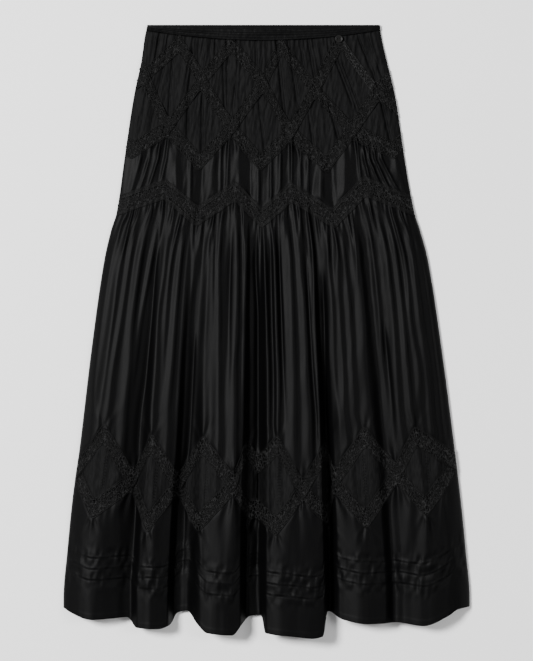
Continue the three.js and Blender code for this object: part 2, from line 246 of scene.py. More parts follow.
def diamond_line(lace: int, tips: Table) -> Table:
    """Take the diamonds' corners on the upper lace, 1, or the lower, 2, and the tips between them."""
    return sorted([*((corner[0], corner[lace]) for corner in DIAMOND_CORNERS), *tips])


LACE_CORNERS: dict[Band, Table] = {
    Band.YOKE_TOP: [
        (0, 66), (0.025, 76.5), (0.147, 28.5), (0.253, 82.5), (0.363, 28.5), (0.494, 87),
        (0.572, 31.5), (0.691, 96), (0.82, 24), (0.933, 100.5), (1, 81),
    ],
    Band.YOKE_MIDDLE: [
        (0, 85.5), (0.025, 76.5), (0.144, 154.5), (0.253, 82.5), (0.376, 154.5), (0.494, 87),
        (0.594, 162), (0.691, 96), (0.819, 159), (0.933, 100.5), (1, 126),
    ],
    Band.YOKE_BOTTOM: [
        (0, 183), (0.025, 188), (0.144, 154.5), (0.267, 206), (0.376, 154.5), (0.484, 206),
        (0.594, 162), (0.719, 209), (0.819, 159), (0.961, 188), (1, 174),
    ],
    Band.HIP: [
        (0, 272), (0.153, 247), (0.273, 287), (0.397, 249), (0.487, 290),
        (0.59, 251), (0.725, 290), (0.845, 242), (1, 272),
    ],
    Band.DIAMOND_UPPER: diamond_line(1, DIAMOND_TOPS),
    Band.DIAMOND_LOWER: diamond_line(2, DIAMOND_BOTTOMS),
}
LACE_HEIGHT = {
    Band.YOKE_TOP: 28.0, Band.YOKE_MIDDLE: 28.0, Band.YOKE_BOTTOM: 28.0,
    Band.HIP: 31.0, Band.DIAMOND_UPPER: 31.0, Band.DIAMOND_LOWER: 31.0,
}
CENTRE: dict[Band, Edge] = {band: rounded(corners, 0.007) for band, corners in LACE_CORNERS.items()}

HEM = smooth([
    (0, 873), (0.022, 880.5), (0.071, 889.5), (0.158, 886.5), (0.182, 901.5), (0.232, 903), (0.264, 897),
    (0.281, 880.5), (0.305, 877.5), (0.33, 895.5), (0.355, 909), (0.416, 912), (0.441, 895.5), (0.461, 885),
    (0.487, 884), (0.497, 909), (0.564, 913.5), (0.613, 916.5), (0.638, 913.5), (0.65, 878), (0.687, 889.5),
    (0.749, 895.5), (0.823, 894), (0.884, 898.5), (0.946, 883.5), (0.97, 874.5), (1, 871.5),
])


def bow(across: Array) -> Array:
    """Give the dip of the front waist, from 0 at the edges to 1 in the middle."""
    return 1 - (2 * across - 1) ** 2


def band_top(across: Array) -> Array:
    """Give the front waistband's upper edge."""
    return 0.5 + 6.2 * bow(across)


def band_bottom(across: Array) -> Array:
    """Give the front waistband's lower seam."""
    return 8.2 + 15.3 * bow(across)


# Clear gap between neighbouring pieces, in millimetres, and the first line below the waistband.
SEAM_GAP = 0.3
UNDER_BAND = shifted(band_bottom, SEAM_GAP)


@dataclass(frozen=True)
class Fold:
    """One ridge of the cloth, or one crease where its height is below 0.

    Its path has (down, across) stops. It rises in over one length and sinks out over another.
    """

    path: tuple[tuple[float, float], ...]
    height: float
    half_width: float
    start: float
    end: float
    rises_in: float = 70.0
    sinks_out: float = 200.0

    def relief(self, across: Array, down: Array, drift: Array | float = 0.0) -> Array:
        """Give the height that the fold adds, steeper on its right.

        Args:
            across: Shares of the width.
            down: Distances below the waist.
            drift: How far its line strays to the right.

        Returns:
            Heights in millimetres.
        """
        downs, places = zip(*self.path)
        line = np.interp(down, downs, places)
        away = (across - line) * OUTLINE.width(down) - drift
        spread = self.half_width * np.interp(down, [self.start, self.end], [0.6, 1.3])
        run = ease((down - self.start) / self.rises_in)
        run = run * (1 - ease((down - self.end + self.sinks_out) / self.sinks_out))
        side = np.where(away > 0, 0.75, 1.25)
        return self.height * run * np.exp(-((away / (spread * side)) ** 2))


@dataclass(frozen=True)
class Fan:
    """Small folds that spread from a point where seams draw the cloth in."""

    across: float
    down: float
    heading: int
    height: float = 1.5
    reach: float = 34.0
    folds: float = 2.5
    half_angle: float = 0.55
    lean: float = 0.0

    def relief(self, across: Array, down: Array) -> Array:
        """Give the height that the fan adds."""
        right = (across - self.across) * OUTLINE.width(down)
        ahead = (down - self.down) * self.heading
        away = np.hypot(right, ahead)
        angle = np.arctan2(right, np.maximum(ahead, 0.001)) - self.lean
        wave = np.cos(angle / self.half_angle * math.pi * self.folds)
        spread = np.exp(-((angle / self.half_angle) ** 4))
        return self.height * wave * spread * ease((away - 10) / 8) * np.exp(-((away / self.reach) ** 2))


@dataclass(frozen=True)
class Ripple:
    """Smooth unevenness of the cloth, of a height, a width and a length in millimetres."""

    height: float
    wide: float
    long: float
    shift: int

    def relief(self, across: Array, down: Array) -> Array:
        """Give the height that the ripples add or take away."""
        along = across * OUTLINE.width(down) / self.wide + 37 * self.shift
        return self.height * GRAIN(along, down / self.long + 23 * self.shift)


def folded(parts: Sequence[Fold | Fan | Ripple], across: Array, down: Array) -> Array:
    """Give the height that several folds, fans or ripples add together."""
    return sum(part.relief(across, down) for part in parts)


YOKE_CRINKLES = (Ripple(0.65, 3.6, 30, 1), Ripple(0.45, 2.2, 12, 2))
YOKE_SWELL = Ripple(0.9, 11, 70, 3)
HIP_RIPPLES = (Ripple(0.8, 12, 60, 4), Ripple(0.3, 4, 30, 5))
TIER_RIPPLES = (Ripple(1.1, 13, 130, 6), Ripple(0.2, 5, 50, 7))
NET_RIPPLE = Ripple(0.25, 2.4, 2.4, 8)
INSET_CRINKLE = Ripple(0.4, 3.0, 14, 9)


def tier_fold(
    top: float, middle: float, low: float, height: float, half_width: float, start: float, end: float
) -> Fold:
    """Make a fold of the two lower tiers from its places at the hip seam, at mid tier and at the hem."""
    return Fold(((330, top), (575, middle), (880, low)), height, half_width, start, end)


TIER_FOLDS = tuple(tier_fold(*row) for row in (
    (0.022, 0.020, 0.012, 2.6, 8, 275, 760), (0.053, 0.044, 0.040, 3.6, 8, 275, 820),
    (0.082, 0.067, 0.078, 2.6, 6, 275, 700), (0.116, 0.110, 0.136, 4.0, 8, 275, 860),
    (0.147, 0.127, 0.154, 2.4, 5, 280, 640), (0.185, 0.187, 0.227, 4.6, 10, 280, 900),
    (0.212, 0.208, 0.215, 2.4, 5, 280, 600), (0.238, 0.230, 0.275, 4.2, 7, 285, 720),
    (0.282, 0.270, 0.290, 3.6, 8, 280, 760), (0.317, 0.323, 0.338, 4.6, 10, 275, 880),
    (0.335, 0.345, 0.352, 2.4, 5, 275, 560), (0.357, 0.366, 0.376, 4.0, 8, 270, 820),
    (0.408, 0.416, 0.416, 5.0, 9, 260, 900), (0.445, 0.444, 0.440, 3.6, 6, 270, 760),
    (0.498, 0.503, 0.500, 5.2, 7, 280, 900), (0.527, 0.533, 0.528, 3.6, 6, 275, 780),
    (0.571, 0.573, 0.566, 4.8, 9, 260, 860), (0.608, 0.616, 0.612, 4.0, 9, 265, 880),
    (0.643, 0.646, 0.640, 4.2, 5, 275, 820), (0.690, 0.690, 0.700, 4.0, 8, 280, 760),
    (0.724, 0.708, 0.735, 4.0, 8, 280, 860), (0.746, 0.738, 0.770, 2.8, 6, 280, 700),
    (0.790, 0.778, 0.790, 4.6, 10, 275, 820), (0.837, 0.827, 0.840, 3.2, 5, 260, 620),
    (0.872, 0.858, 0.870, 4.4, 8, 260, 800), (0.903, 0.895, 0.909, 3.8, 7, 265, 880),
    (0.925, 0.922, 0.935, 2.4, 5, 270, 700), (0.955, 0.948, 0.950, 3.8, 7, 275, 840),
    (0.978, 0.976, 0.980, 2.4, 5, 275, 740), (0.471, 0.473, 0.476, -5.5, 5, 300, 960),
    (0.545, 0.546, 0.552, -4.5, 4, 300, 640), (0.672, 0.668, 0.657, -6.0, 5, 360, 980),
    (0.838, 0.838, 0.826, -3.5, 5, 420, 700), (0.296, 0.292, 0.286, -3.5, 5, 440, 940),
    (0.390, 0.392, 0.396, -2.8, 4, 300, 580), (0.165, 0.158, 0.168, -2.8, 5, 300, 900),
    (0.628, 0.630, 0.626, -2.5, 3, 320, 760), (0.517, 0.518, 0.514, -3.0, 4, 300, 720),
))


def hip_fold(top: float, low: float, height: float, half_width: float) -> Fold:
    """Make a fold of the hip panel from its places at the panel's points and valleys."""
    return Fold(((201, top), (268, low)), height, half_width, 150, 320, 20, 40)


HIP_FOLDS = tuple(hip_fold(*row) for row in (
    (0.057, 0.036, 2.6, 4.5), (0.090, 0.061, 2.6, 3.0), (0.121, 0.087, 3.0, 2.8), (0.150, 0.131, 3.0, 3.0),
    (0.182, 0.199, 3.6, 9.0), (0.239, 0.246, 2.8, 3.2), (0.318, 0.321, 3.6, 8.0), (0.345, 0.348, 2.6, 2.8),
    (0.371, 0.368, 2.8, 2.8), (0.407, 0.416, 3.6, 8.0), (0.479, 0.477, 3.8, 4.0), (0.524, 0.520, 3.4, 2.6),
    (0.557, 0.551, 3.8, 4.0), (0.598, 0.590, 3.6, 2.8), (0.629, 0.620, 2.8, 2.8), (0.657, 0.646, 2.8, 3.6),
    (0.700, 0.687, 3.6, 8.0), (0.786, 0.768, 3.8, 9.0), (0.836, 0.836, 3.4, 2.6), (0.857, 0.877, 3.4, 2.6),
    (0.874, 0.918, 3.4, 2.6), (0.895, 0.945, 3.2, 2.6), (0.917, 0.975, 3.0, 3.0), (0.967, 0.985, 2.4, 5.0),
    (0.276, 0.284, -2.6, 6.0), (0.447, 0.447, -3.0, 5.0), (0.735, 0.731, -2.6, 4.0),
))


def yoke_crease(path: tuple[tuple[float, float], ...], depth: float = 3.2, half_width: float = 2.0) -> Fold:
    """Make one of the long sharp creases of the yoke."""
    return Fold(path, -depth, half_width, path[0][0] - 12, path[-1][0] + 14, 14, 22)


YOKE_CREASES = tuple(yoke_crease(*row) for row in (
    (((48, 0.126), (136, 0.144)), 2.4, 1.8), (((40, 0.206), (110, 0.209), (166, 0.220)), 3.6),
    (((110, 0.263), (195, 0.277)), 3.2), (((60, 0.335), (136, 0.353)), 2.8, 1.8),
    (((66, 0.350), (126, 0.362)), 2.0, 1.6), (((22, 0.346), (60, 0.356)), 2.0, 1.6),
    (((22, 0.386), (60, 0.394), (128, 0.382)), 2.2, 1.8), (((120, 0.480), (200, 0.506)), 2.2, 1.8),
    (((22, 0.557), (90, 0.566), (172, 0.580)), 4.2, 2.2), (((30, 0.607), (114, 0.625)), 3.4),
    (((50, 0.790), (118, 0.832)), 3.0, 1.6), (((56, 0.805), (124, 0.846)), 3.0, 1.6),
    (((60, 0.820), (126, 0.858)), 2.4, 1.6), (((120, 0.744), (176, 0.774)), 3.4),
    (((22, 0.905), (74, 0.936)), 2.8), (((22, 0.945), (74, 0.962)), 2.2),
    (((80, 0.935), (180, 0.960)), 3.4), (((20, 0.470), (80, 0.468)), 2.0, 1.6),
    (((26, 0.690), (92, 0.700)), 2.4, 1.6), (((30, 0.655), (70, 0.662)), 2.0, 1.6),
    (((24, 0.060), (90, 0.052)), 2.0, 1.6), (((24, 0.098), (80, 0.092)), 2.0, 1.6),
    (((100, 0.090), (170, 0.080)), 1.8, 1.6), (((30, 0.300), (80, 0.300)), 1.8, 1.6),
    (((110, 0.660), (190, 0.680)), 1.8, 1.6), (((110, 0.430), (180, 0.436)), 1.8, 1.6),
))


# How much of the cloth's folding each band of lace holds flat.
HELD_BY = {
    Band.YOKE_TOP: 0.25, Band.YOKE_MIDDLE: 0.25, Band.YOKE_BOTTOM: 0.45,
    Band.HIP: 0.72, Band.DIAMOND_UPPER: 0.5, Band.DIAMOND_LOWER: 0.5,
}


def seam_fans() -> tuple[Fan, ...]:
    """Make the fans at the diamonds' corners and tips and at the peaks of the zigzag lace."""
    fans = []
    for across, upper, lower in DIAMOND_CORNERS[1:-1]:
        fans.append(Fan(across, upper, -1, 1.5, 40))
        fans.append(Fan(across, lower, 1, 1.8, 44))
    fans += [Fan(across, down, -1, 1.0, 34, 2.0) for across, down in DIAMOND_TOPS]
    fans += [Fan(across, down, 1, 1.2, 34, 2.0) for across, down in DIAMOND_BOTTOMS]
    fans += [Fan(across, down, 1, 1.4, 44, 3.0, 0.7) for across, down in LACE_CORNERS[Band.HIP][1:-1:2]]
    return tuple(fans)


def yoke_fans() -> tuple[Fan, ...]:
    """Make the fans of the hip panel under the peaks of the yoke's lowest lace."""
    peaks = LACE_CORNERS[Band.YOKE_BOTTOM][2::2]
    leans = (-0.22, 0.0, 0.08, 0.30)
    return tuple(
        Fan(across, down - 8, 1, 2.0, 62, 2.5, 0.5, lean) for (across, down), lean in zip(peaks, leans)
    )


@dataclass
class LaidCloth:
    """How high the garment's front lies over the surface, with all its folds.

    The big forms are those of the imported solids. Heights are in millimetres.
    """

    back: float = 1.5
    seam_gap: float = 0.3
    wall: float = 1.5
    loft: Edge = smooth([
        (0, 2.5), (24, 4), (120, 6), (205, 7), (290, 9), (345, 11), (430, 12), (600, 13), (917, 13),
    ])
    flute_share: Edge = smooth([
        (0, 0), (205, 0), (290, 0.08), (345, 0.16), (430, 0.32), (600, 0.62), (740, 0.86), (917, 1),
    ])
    edge_turn: Edge = smooth([
        (0, 14), (24, 16), (120, 20), (205, 22), (290, 24), (345, 28), (430, 30), (740, 34), (917, 36),
    ])
    flutes: Edge = smooth([
        (0, 14), (0.04, 24), (0.079, 30), (0.13, 24), (0.165, 15), (0.185, 28), (0.217, 34), (0.256, 31),
        (0.274, 8), (0.30, 8), (0.34, 30), (0.387, 38), (0.434, 34), (0.452, 8), (0.482, 8), (0.500, 32),
        (0.54, 40), (0.6, 40), (0.642, 35), (0.656, 8), (0.68, 22), (0.739, 34), (0.79, 30), (0.815, 17),
        (0.84, 25), (0.909, 32), (0.96, 26), (1, 14),
    ])
    gather_seed: int = 4
    yoke_gathers: int = 58
    tier_gathers: int = 70
    sink: float = 2.0
    strips: tuple[float, ...] = (0.147, 0.363, 0.585, 0.80)
    strip_half: float = 8.0
    strip_middle: float = 80.0
    strip_reach: float = 40.0
    strip_hold: float = 0.8
    hip_folding: float = 0.8
    tier_gathering: float = 1.2
    swirl_at: tuple[float, float] = (0.715, 250)
    swirl_size: tuple[float, float] = (9, 26)
    swirl_rise: float = 1.2
    seam_blend: float = 6.0
    tier_top: float = 12.0

    def __post_init__(self) -> None:
        """Draw the uneven places and lengths of the gathers."""
        self.wanders = [wander(100 + i) for i in range(len(TIER_FOLDS))]
        self.fans = seam_fans()
        self.hip_fans = yoke_fans()
        rng = np.random.default_rng(self.gather_seed)
        self.yoke_pinches = self.draw_pinches(rng, self.yoke_gathers, (20, 170), (0.4, 1.7))
        self.tier_pinches = self.draw_pinches(rng, self.tier_gathers, (12, 90), (0.9, 3.2))

    @staticmethod
    def draw_pinches(
        rng: np.random.Generator, count: int, lengths: tuple[float, float], heights: tuple[float, float]
    ) -> Array:
        """Draw the gathers along a seam.

        Args:
            rng: Source of the unevenness.
            count: Number of gathers.
            lengths: Shortest and longest run down the cloth.
            heights: Lowest and highest crest.

        Returns:
            A row for each gather: place across, run, height, half width as a share of the spacing, slant.
        """
        places = (np.arange(count) + 0.5 + rng.uniform(-0.45, 0.45, count)) / count
        runs = lengths[0] + (lengths[1] - lengths[0]) * rng.uniform(0, 1, count) ** 1.7
        crests = rng.uniform(*heights, count)
        widths = rng.uniform(0.22, 0.42, count)
        slants = rng.uniform(-0.10, 0.10, count)
        return np.stack([places, runs, crests, widths, slants], axis=1)

    @staticmethod
    def pinches(table: Array, across: Array, below: Array, width: Array) -> Array:
        """Give the height that the gathers of one seam add.

        Args:
            table: The gathers, as draw_pinches gives them.
            across: Shares of the width.
            below: Distances below the seam.
            width: Laid width there.

        Returns:
            Heights in millimetres.
        """
        total = np.zeros_like(across)
        beneath = np.maximum(below, 0)
        for place_across, run, crest, half, slant in table:
            away = across - place_across - slant * beneath / width
            share = away * len(table) / (half * (1 + 0.5 * beneath / run))
            near = np.abs(share) < 3
            fade = np.exp(-((beneath / run) ** 1.5))
            total += np.where(near, crest * fade * np.exp(-(share**2)), 0)
        return total

    def puckers(self, across: Array, down: Array, band: Band, reach: float) -> Array:
        """Give the small ripples that a lace seam draws up on both its sides."""
        past = down - CENTRE[band](across)
        away = np.maximum(np.abs(past) - LACE_HEIGHT[band] / 2, 0)
        beside = np.exp(-((away / reach) ** 1.4))
        along = across * OUTLINE.width(down) / 5.5 + 40
        return beside * GRAIN(along, np.sign(past) * 3 + down / 60 + 20)

    def yoke_relief(self, across: Array, down: Array) -> Array:
        """Give the gathers, crinkles and long creases of the yoke."""
        width = OUTLINE.width(down)
        gathers = self.pinches(self.yoke_pinches, across, down - band_bottom(across), width)
        strips = np.zeros_like(across)
        for strip in self.strips:
            beside = ((across - strip) * width / self.strip_half) ** 2
            beyond = ((down - self.strip_middle) / self.strip_reach) ** 4
            strips = np.maximum(strips, np.exp(-beside - beyond))
        fine = (gathers + folded(YOKE_CRINKLES, across, down)) * (1 - self.strip_hold * strips)
        return fine + YOKE_SWELL.relief(across, down) + folded(YOKE_CREASES, across, down)

    def hip_relief(self, across: Array, down: Array) -> Array:
        """Give the folds of the satin panel between the two rows of points."""
        total = folded(HIP_RIPPLES, across, down) + self.hip_folding * folded(HIP_FOLDS, across, down)
        total += folded(self.hip_fans, across, down)
        (place_across, place_down), (wide, tall) = self.swirl_at, self.swirl_size
        swirl = np.hypot((across - place_across) * OUTLINE.width(down) / wide, (down - place_down) / tall)
        return total + self.swirl_rise * (np.exp(-((swirl - 1) ** 2) * 4) - 0.5)

    def tier_relief(self, across: Array, down: Array) -> Array:
        """Give the long folds, creases and gathers of the two lower tiers."""
        width = OUTLINE.width(down)
        below = down - CENTRE[Band.HIP](across) - self.tier_top
        gathers = self.pinches(self.tier_pinches, across, below, width)
        total = self.tier_gathering * ease((below + 8) / 8) * gathers
        for fold, stray in zip(TIER_FOLDS, self.wanders):
            drift = 2.2 * stray(np.clip((down - 280) / 640, 0, 1))
            total = total + fold.relief(across, down, drift)
        fading = np.interp(down, [280, 420, 900], [1.0, 0.75, 0.55])
        total += fading * folded(TIER_RIPPLES, across, down) + folded(self.fans, across, down)
        for band in (Band.DIAMOND_UPPER, Band.DIAMOND_LOWER):
            total += 0.7 * self.puckers(across, down, band, 14)
        return total

    def relief(self, across: Array, down: Array) -> Array:
        """Give every fold at a place, each region's fading into the next at its seam."""
        half = self.seam_blend / 2
        yoke = 1 - ease((down - CENTRE[Band.YOKE_BOTTOM](across) + half) / self.seam_blend)
        tier = ease((down - CENTRE[Band.HIP](across) + half) / self.seam_blend)
        hip = 1 - yoke - tier
        total = np.zeros_like(across)
        for weight, part in ((yoke, self.yoke_relief), (hip, self.hip_relief), (tier, self.tier_relief)):
            if weight.max() > 0:
                total = total + weight * part(across, down)
        for band in (Band.YOKE_BOTTOM, Band.HIP):
            total += 0.5 * self.puckers(across, down, band, 10)
        for band, share in HELD_BY.items():
            away = (down - CENTRE[band](across)) / (0.52 * LACE_HEIGHT[band])
            total = total * (1 - share * np.exp(-(away**6)))
        return total

    def level(self, across: Array, down: Array) -> Array:
        """Give the height of the inner face without its folds."""
        flute = self.flute_share(down)
        return self.loft(down) * (1 - flute) + self.flutes(across) * flute

    def inner(self, across: Array, down: Array) -> Array:
        """Give the height of the front's inner face over the surface."""
        width = OUTLINE.width(down)
        edge = np.clip(np.minimum(across, 1 - across) * width / self.edge_turn(down), 0, 1)
        turned = np.sqrt(np.clip(1 - (1 - edge) ** 2, 0, 1))
        settled = np.clip(down / 60, 0, 1) * self.sink
        lift = np.maximum(self.level(across, down) - settled + self.relief(across, down), 1.0)
        return self.back + self.seam_gap + turned * lift

    def outer(self, across: Array, down: Array) -> Array:
        """Give the height of the front's outer face over the surface."""
        return self.inner(across, down) + self.wall

    def reach(self, start: float, end: float, down: float) -> float:
        """Give the length over the folds between two places that lie equally far down, in millimetres."""
        across = np.linspace(start, end, 60)
        line = np.full_like(across, down)
        points = place(across, line, self.outer(across, line)) / MM
        return float(np.linalg.norm(np.diff(points, axis=0), axis=1).sum())

    def facing(self, across: Array, down: Array, step: float = 1.0) -> Array:
        """Give the directions that the outer face faces, as unit vectors."""
        width = OUTLINE.width(down)
        rise_x = self.outer(across + step / width, down) - self.outer(across - step / width, down)
        rise_y = self.outer(across, down - step) - self.outer(across, down + step)
        facing = np.stack([-rise_x / (2 * step), -rise_y / (2 * step), np.ones_like(rise_x)], axis=-1)
        return facing / np.linalg.norm(facing, axis=-1, keepdims=True)


CLOTH = LaidCloth()


def place(across: Array, down: Array, height: Array) -> Array:
    """Turn garment coordinates into points in metres."""
    return np.stack([OUTLINE.x(across, down), OUTLINE.y(down), height], axis=-1) * MM


def grid_object(name: str, points: Array, chart: Array | None = None) -> Piece:
    """Make a sheet from a grid of points whose rows run down and columns run to the right.

    Args:
        name: Object name.
        points: Rows by columns by three, in metres.
        chart: Rows by columns by two, for the UV map.

    Returns:
        The new object, facing up.
    """
    rows, columns, _ = points.shape
    index = np.arange(rows * columns).reshape(rows, columns)
    corners = (index[:-1, :-1], index[1:, :-1], index[1:, 1:], index[:-1, 1:])
    faces = np.stack(corners, axis=-1).reshape(-1, 4)
    mesh = bpy.data.meshes.new(name)
    mesh.vertices.add(rows * columns)
    mesh.vertices.foreach_set("co", points.reshape(-1).astype(np.float32))
    mesh.loops.add(faces.size)
    mesh.loops.foreach_set("vertex_index", faces.reshape(-1).astype(np.int32))
    mesh.polygons.add(len(faces))
    mesh.polygons.foreach_set("loop_start", np.arange(0, faces.size, 4, dtype=np.int32))
    mesh.update(calc_edges=True)
    mesh.validate()
    mesh.shade_smooth()
    if chart is not None:
        layer = mesh.uv_layers.new(name="cloth")
        layer.data.foreach_set("uv", chart.reshape(-1, 2)[faces.reshape(-1)].reshape(-1).astype(np.float32))
    return put(name, mesh)


def mark(piece: Piece, name: str, values: Array) -> None:
    """Store one value for each point of a piece, which its finish reads."""
    attribute = piece.data.attributes.new(name, "FLOAT", "POINT")
    attribute.data.foreach_set("value", values.reshape(-1).astype(np.float32))


def join(name: str, parts: Sequence[Piece]) -> Piece:
    """Make one piece of several and remove them."""
    joined = bmesh.new()
    for piece in parts:
        joined.from_mesh(piece.data)
        bpy.data.objects.remove(piece)
    mesh = bpy.data.meshes.new(name)
    joined.to_mesh(mesh)
    joined.free()
    return put(name, mesh)


@dataclass
class Spots:
    """Places on the cloth, with the direction each faces and the one it runs in."""

    points: Array
    facing: Array
    ahead: Array

    def turned(self, angle: float) -> Spots:
        """Give the same places turned on the cloth, in radians."""
        side = np.cross(self.facing, self.ahead)
        return Spots(self.points, self.facing, self.ahead * math.cos(angle) + side * math.sin(angle))

    def turns(self) -> Array:
        """Give the rotation of each place, as Euler angles."""
        angles = []
        for facing, ahead in zip(self.facing, self.ahead):
            up = Vector(facing).normalized()
            side = up.cross(Vector(ahead)).normalized()
            frame_of = Matrix((side.cross(up), side, up)).transposed()
            angles.append(frame_of.to_euler())
        return np.array(angles)


class Motifs:
    """Small worked shapes and the node tree that lays copies of them on the cloth."""

    uneven: tuple[float, float] = (0.85, 1.1)

    def __init__(self) -> None:
        """Make the shapes and the tree."""
        self.flower = self.shape("flower", self.petals(5, 1.0, 0.36))
        self.leaf = self.shape("leaf", self.petals(1, 1.0, 0.42))
        self.bead = self.shape("bead", [self.disc(0.0, 0.0, 1.0, 1.0, 5, 0.8)])
        self.stitch = self.shape("stitch", [self.disc(0.0, 0.0, 1.0, 0.28, 6, 0.35)])
        self.tree = self.lay_tree()

    @staticmethod
    def disc(
        x: float, y: float, long: float, short: float, sides: int, rise: float, turn: float = 0.0
    ) -> list[tuple[float, float, float]]:
        """Give a raised oval: its rim and, last, its crown."""
        rim = []
        for i in range(sides):
            a, b = long * math.cos(2 * math.pi * i / sides), short * math.sin(2 * math.pi * i / sides)
            right = a * math.cos(turn) - b * math.sin(turn)
            ahead = a * math.sin(turn) + b * math.cos(turn)
            rim.append((x + right, y + ahead, 0.0))
        return rim + [(x, y, rise)]

    def petals(self, count: int, reach: float, breadth: float) -> list[list[tuple[float, float, float]]]:
        """Give petals round a middle, or one leaf."""
        ovals = []
        for i in range(count):
            turn = 2 * math.pi * i / count
            out = reach * 0.56 if count > 1 else 0.0
            long = reach * 0.44 if count > 1 else reach
            ovals.append(self.disc(out * math.cos(turn), out * math.sin(turn), long, breadth, 6, 0.3, turn))
        if count > 1:
            ovals.append(self.disc(0.0, 0.0, 0.24, 0.24, 5, 0.4))
        return ovals

    @staticmethod
    def shape(name: str, ovals: list[list[tuple[float, float, float]]]) -> Piece:
        """Make one motif, a millimetre from its middle to its edge."""
        points, faces = [], []
        for oval in ovals:
            first, crown = len(points), len(points) + len(oval) - 1
            points += [(x * MM, y * MM, z * MM) for x, y, z in oval]
            sides = len(oval) - 1
            faces += [(first + i, first + (i + 1) % sides, crown) for i in range(sides)]
        mesh = bpy.data.meshes.new(name)
        mesh.from_pydata(points, [], faces)
        mesh.shade_smooth()
        return put(name, mesh)

    @staticmethod
    def lay_tree() -> bpy.types.NodeTree:
        """Build the tree: one copy of the motif at each point, turned and sized as the point says."""
        tree = bpy.data.node_groups.new("lay_motifs", "GeometryNodeTree")
        for name, way, kind in (
            ("Places", "INPUT", "Geometry"), ("Motif", "INPUT", "Object"), ("Size", "INPUT", "Float"),
            ("Finish", "INPUT", "Material"), ("Work", "OUTPUT", "Geometry"),
        ):
            tree.interface.new_socket(name, in_out=way, socket_type="NodeSocket" + kind)
        nodes = {name: tree.nodes.new(kind) for name, kind in (
            ("given", "NodeGroupInput"), ("motif", "GeometryNodeObjectInfo"),
            ("turn", "GeometryNodeInputNamedAttribute"), ("share", "GeometryNodeInputNamedAttribute"),
            ("size", "ShaderNodeMath"), ("copies", "GeometryNodeInstanceOnPoints"),
            ("real", "GeometryNodeRealizeInstances"), ("finish", "GeometryNodeSetMaterial"),
            ("result", "NodeGroupOutput"),
        )}
        for name, kind in (("turn", "FLOAT_VECTOR"), ("share", "FLOAT")):
            nodes[name].data_type = kind
            nodes[name].inputs["Name"].default_value = name
        nodes["size"].operation = "MULTIPLY"
        for source, output, target, socket in (
            ("given", "Places", "copies", "Points"), ("given", "Motif", "motif", "Object"),
            ("motif", "Geometry", "copies", "Instance"), ("turn", "Attribute", "copies", "Rotation"),
            ("share", "Attribute", "size", 0), ("given", "Size", "size", 1), ("size", 0, "copies", "Scale"),
            ("copies", "Instances", "real", "Geometry"), ("real", "Geometry", "finish", "Geometry"),
            ("given", "Finish", "finish", "Material"), ("finish", "Geometry", "result", "Work"),
        ):
            tree.links.new(nodes[source].outputs[output], nodes[target].inputs[socket])
        return tree

    def scatter(self, motif: Piece, spots: Spots, size: float, finish: Material, seed: int = 7) -> Piece:
        """Lay copies of a motif and make them a plain mesh.

        Args:
            motif: The shape to copy.
            spots: Where and how each lies.
            size: Millimetres from a copy's middle to its edge.
            finish: The copies' material.
            seed: Seed of their uneven sizes.

        Returns:
            A new object with every copy.
        """
        mesh = bpy.data.meshes.new(motif.name + "_places")
        mesh.from_pydata(spots.points.tolist(), [], [])
        turn = mesh.attributes.new("turn", "FLOAT_VECTOR", "POINT")
        turn.data.foreach_set("vector", spots.turns().reshape(-1).astype(np.float32))
        places = put(motif.name + "_places", mesh)
        mark(places, "share", np.random.default_rng(seed).uniform(*self.uneven, len(spots.points)))
        layer = places.modifiers.new("lay", "NODES")
        layer.node_group = self.tree
        values = {"Motif": motif, "Size": size, "Finish": finish}
        for item in self.tree.interface.items_tree:
            if item.name in values:
                layer[item.identifier] = values[item.name]
        seen = places.evaluated_get(bpy.context.evaluated_depsgraph_get())
        plain = bpy.data.meshes.new_from_object(seen)
        bpy.data.objects.remove(places)
        for name in ("turn", "share"):
            if name in plain.attributes:
                plain.attributes.remove(plain.attributes[name])
        return put(motif.name + "s", plain)

    def clear(self) -> None:
        """Remove the shapes once every copy is laid."""
        for motif in (self.flower, self.leaf, self.bead, self.stitch):
            bpy.data.objects.remove(motif)


class Sock:
    """A shader socket that takes part in sums."""

    def __init__(self, paint: Paint, socket: bpy.types.NodeSocket) -> None:
        """Hold a socket of a paint's node tree."""
        self.paint = paint
        self.socket = socket

    def _math(self, operation: str, first: object, second: object = 0.0) -> Sock:
        """Add one step of a sum to the tree."""
        return self.paint.node("ShaderNodeMath", {"operation": operation}, {0: first, 1: second})

    def __add__(self, other: object) -> Sock:
        """Add."""
        return self._math("ADD", self, other)

    __radd__ = __add__

    def __mul__(self, other: object) -> Sock:
        """Multiply."""
        return self._math("MULTIPLY", self, other)

    __rmul__ = __mul__

    def __sub__(self, other: object) -> Sock:
        """Subtract."""
        return self._math("SUBTRACT", self, other)

    def __rsub__(self, other: object) -> Sock:
        """Subtract from a number."""
        return self._math("SUBTRACT", other, self)

    def sine(self) -> Sock:
        """Give the sine."""
        return self._math("SINE", self)

    def band(self, low: float, high: float) -> Sock:
        """Ease from 0 at low to 1 at high."""
        return self.paint.node(
            "ShaderNodeMapRange", {"interpolation_type": "SMOOTHSTEP"},
            {"Value": self, "From Min": low, "From Max": high},
        )


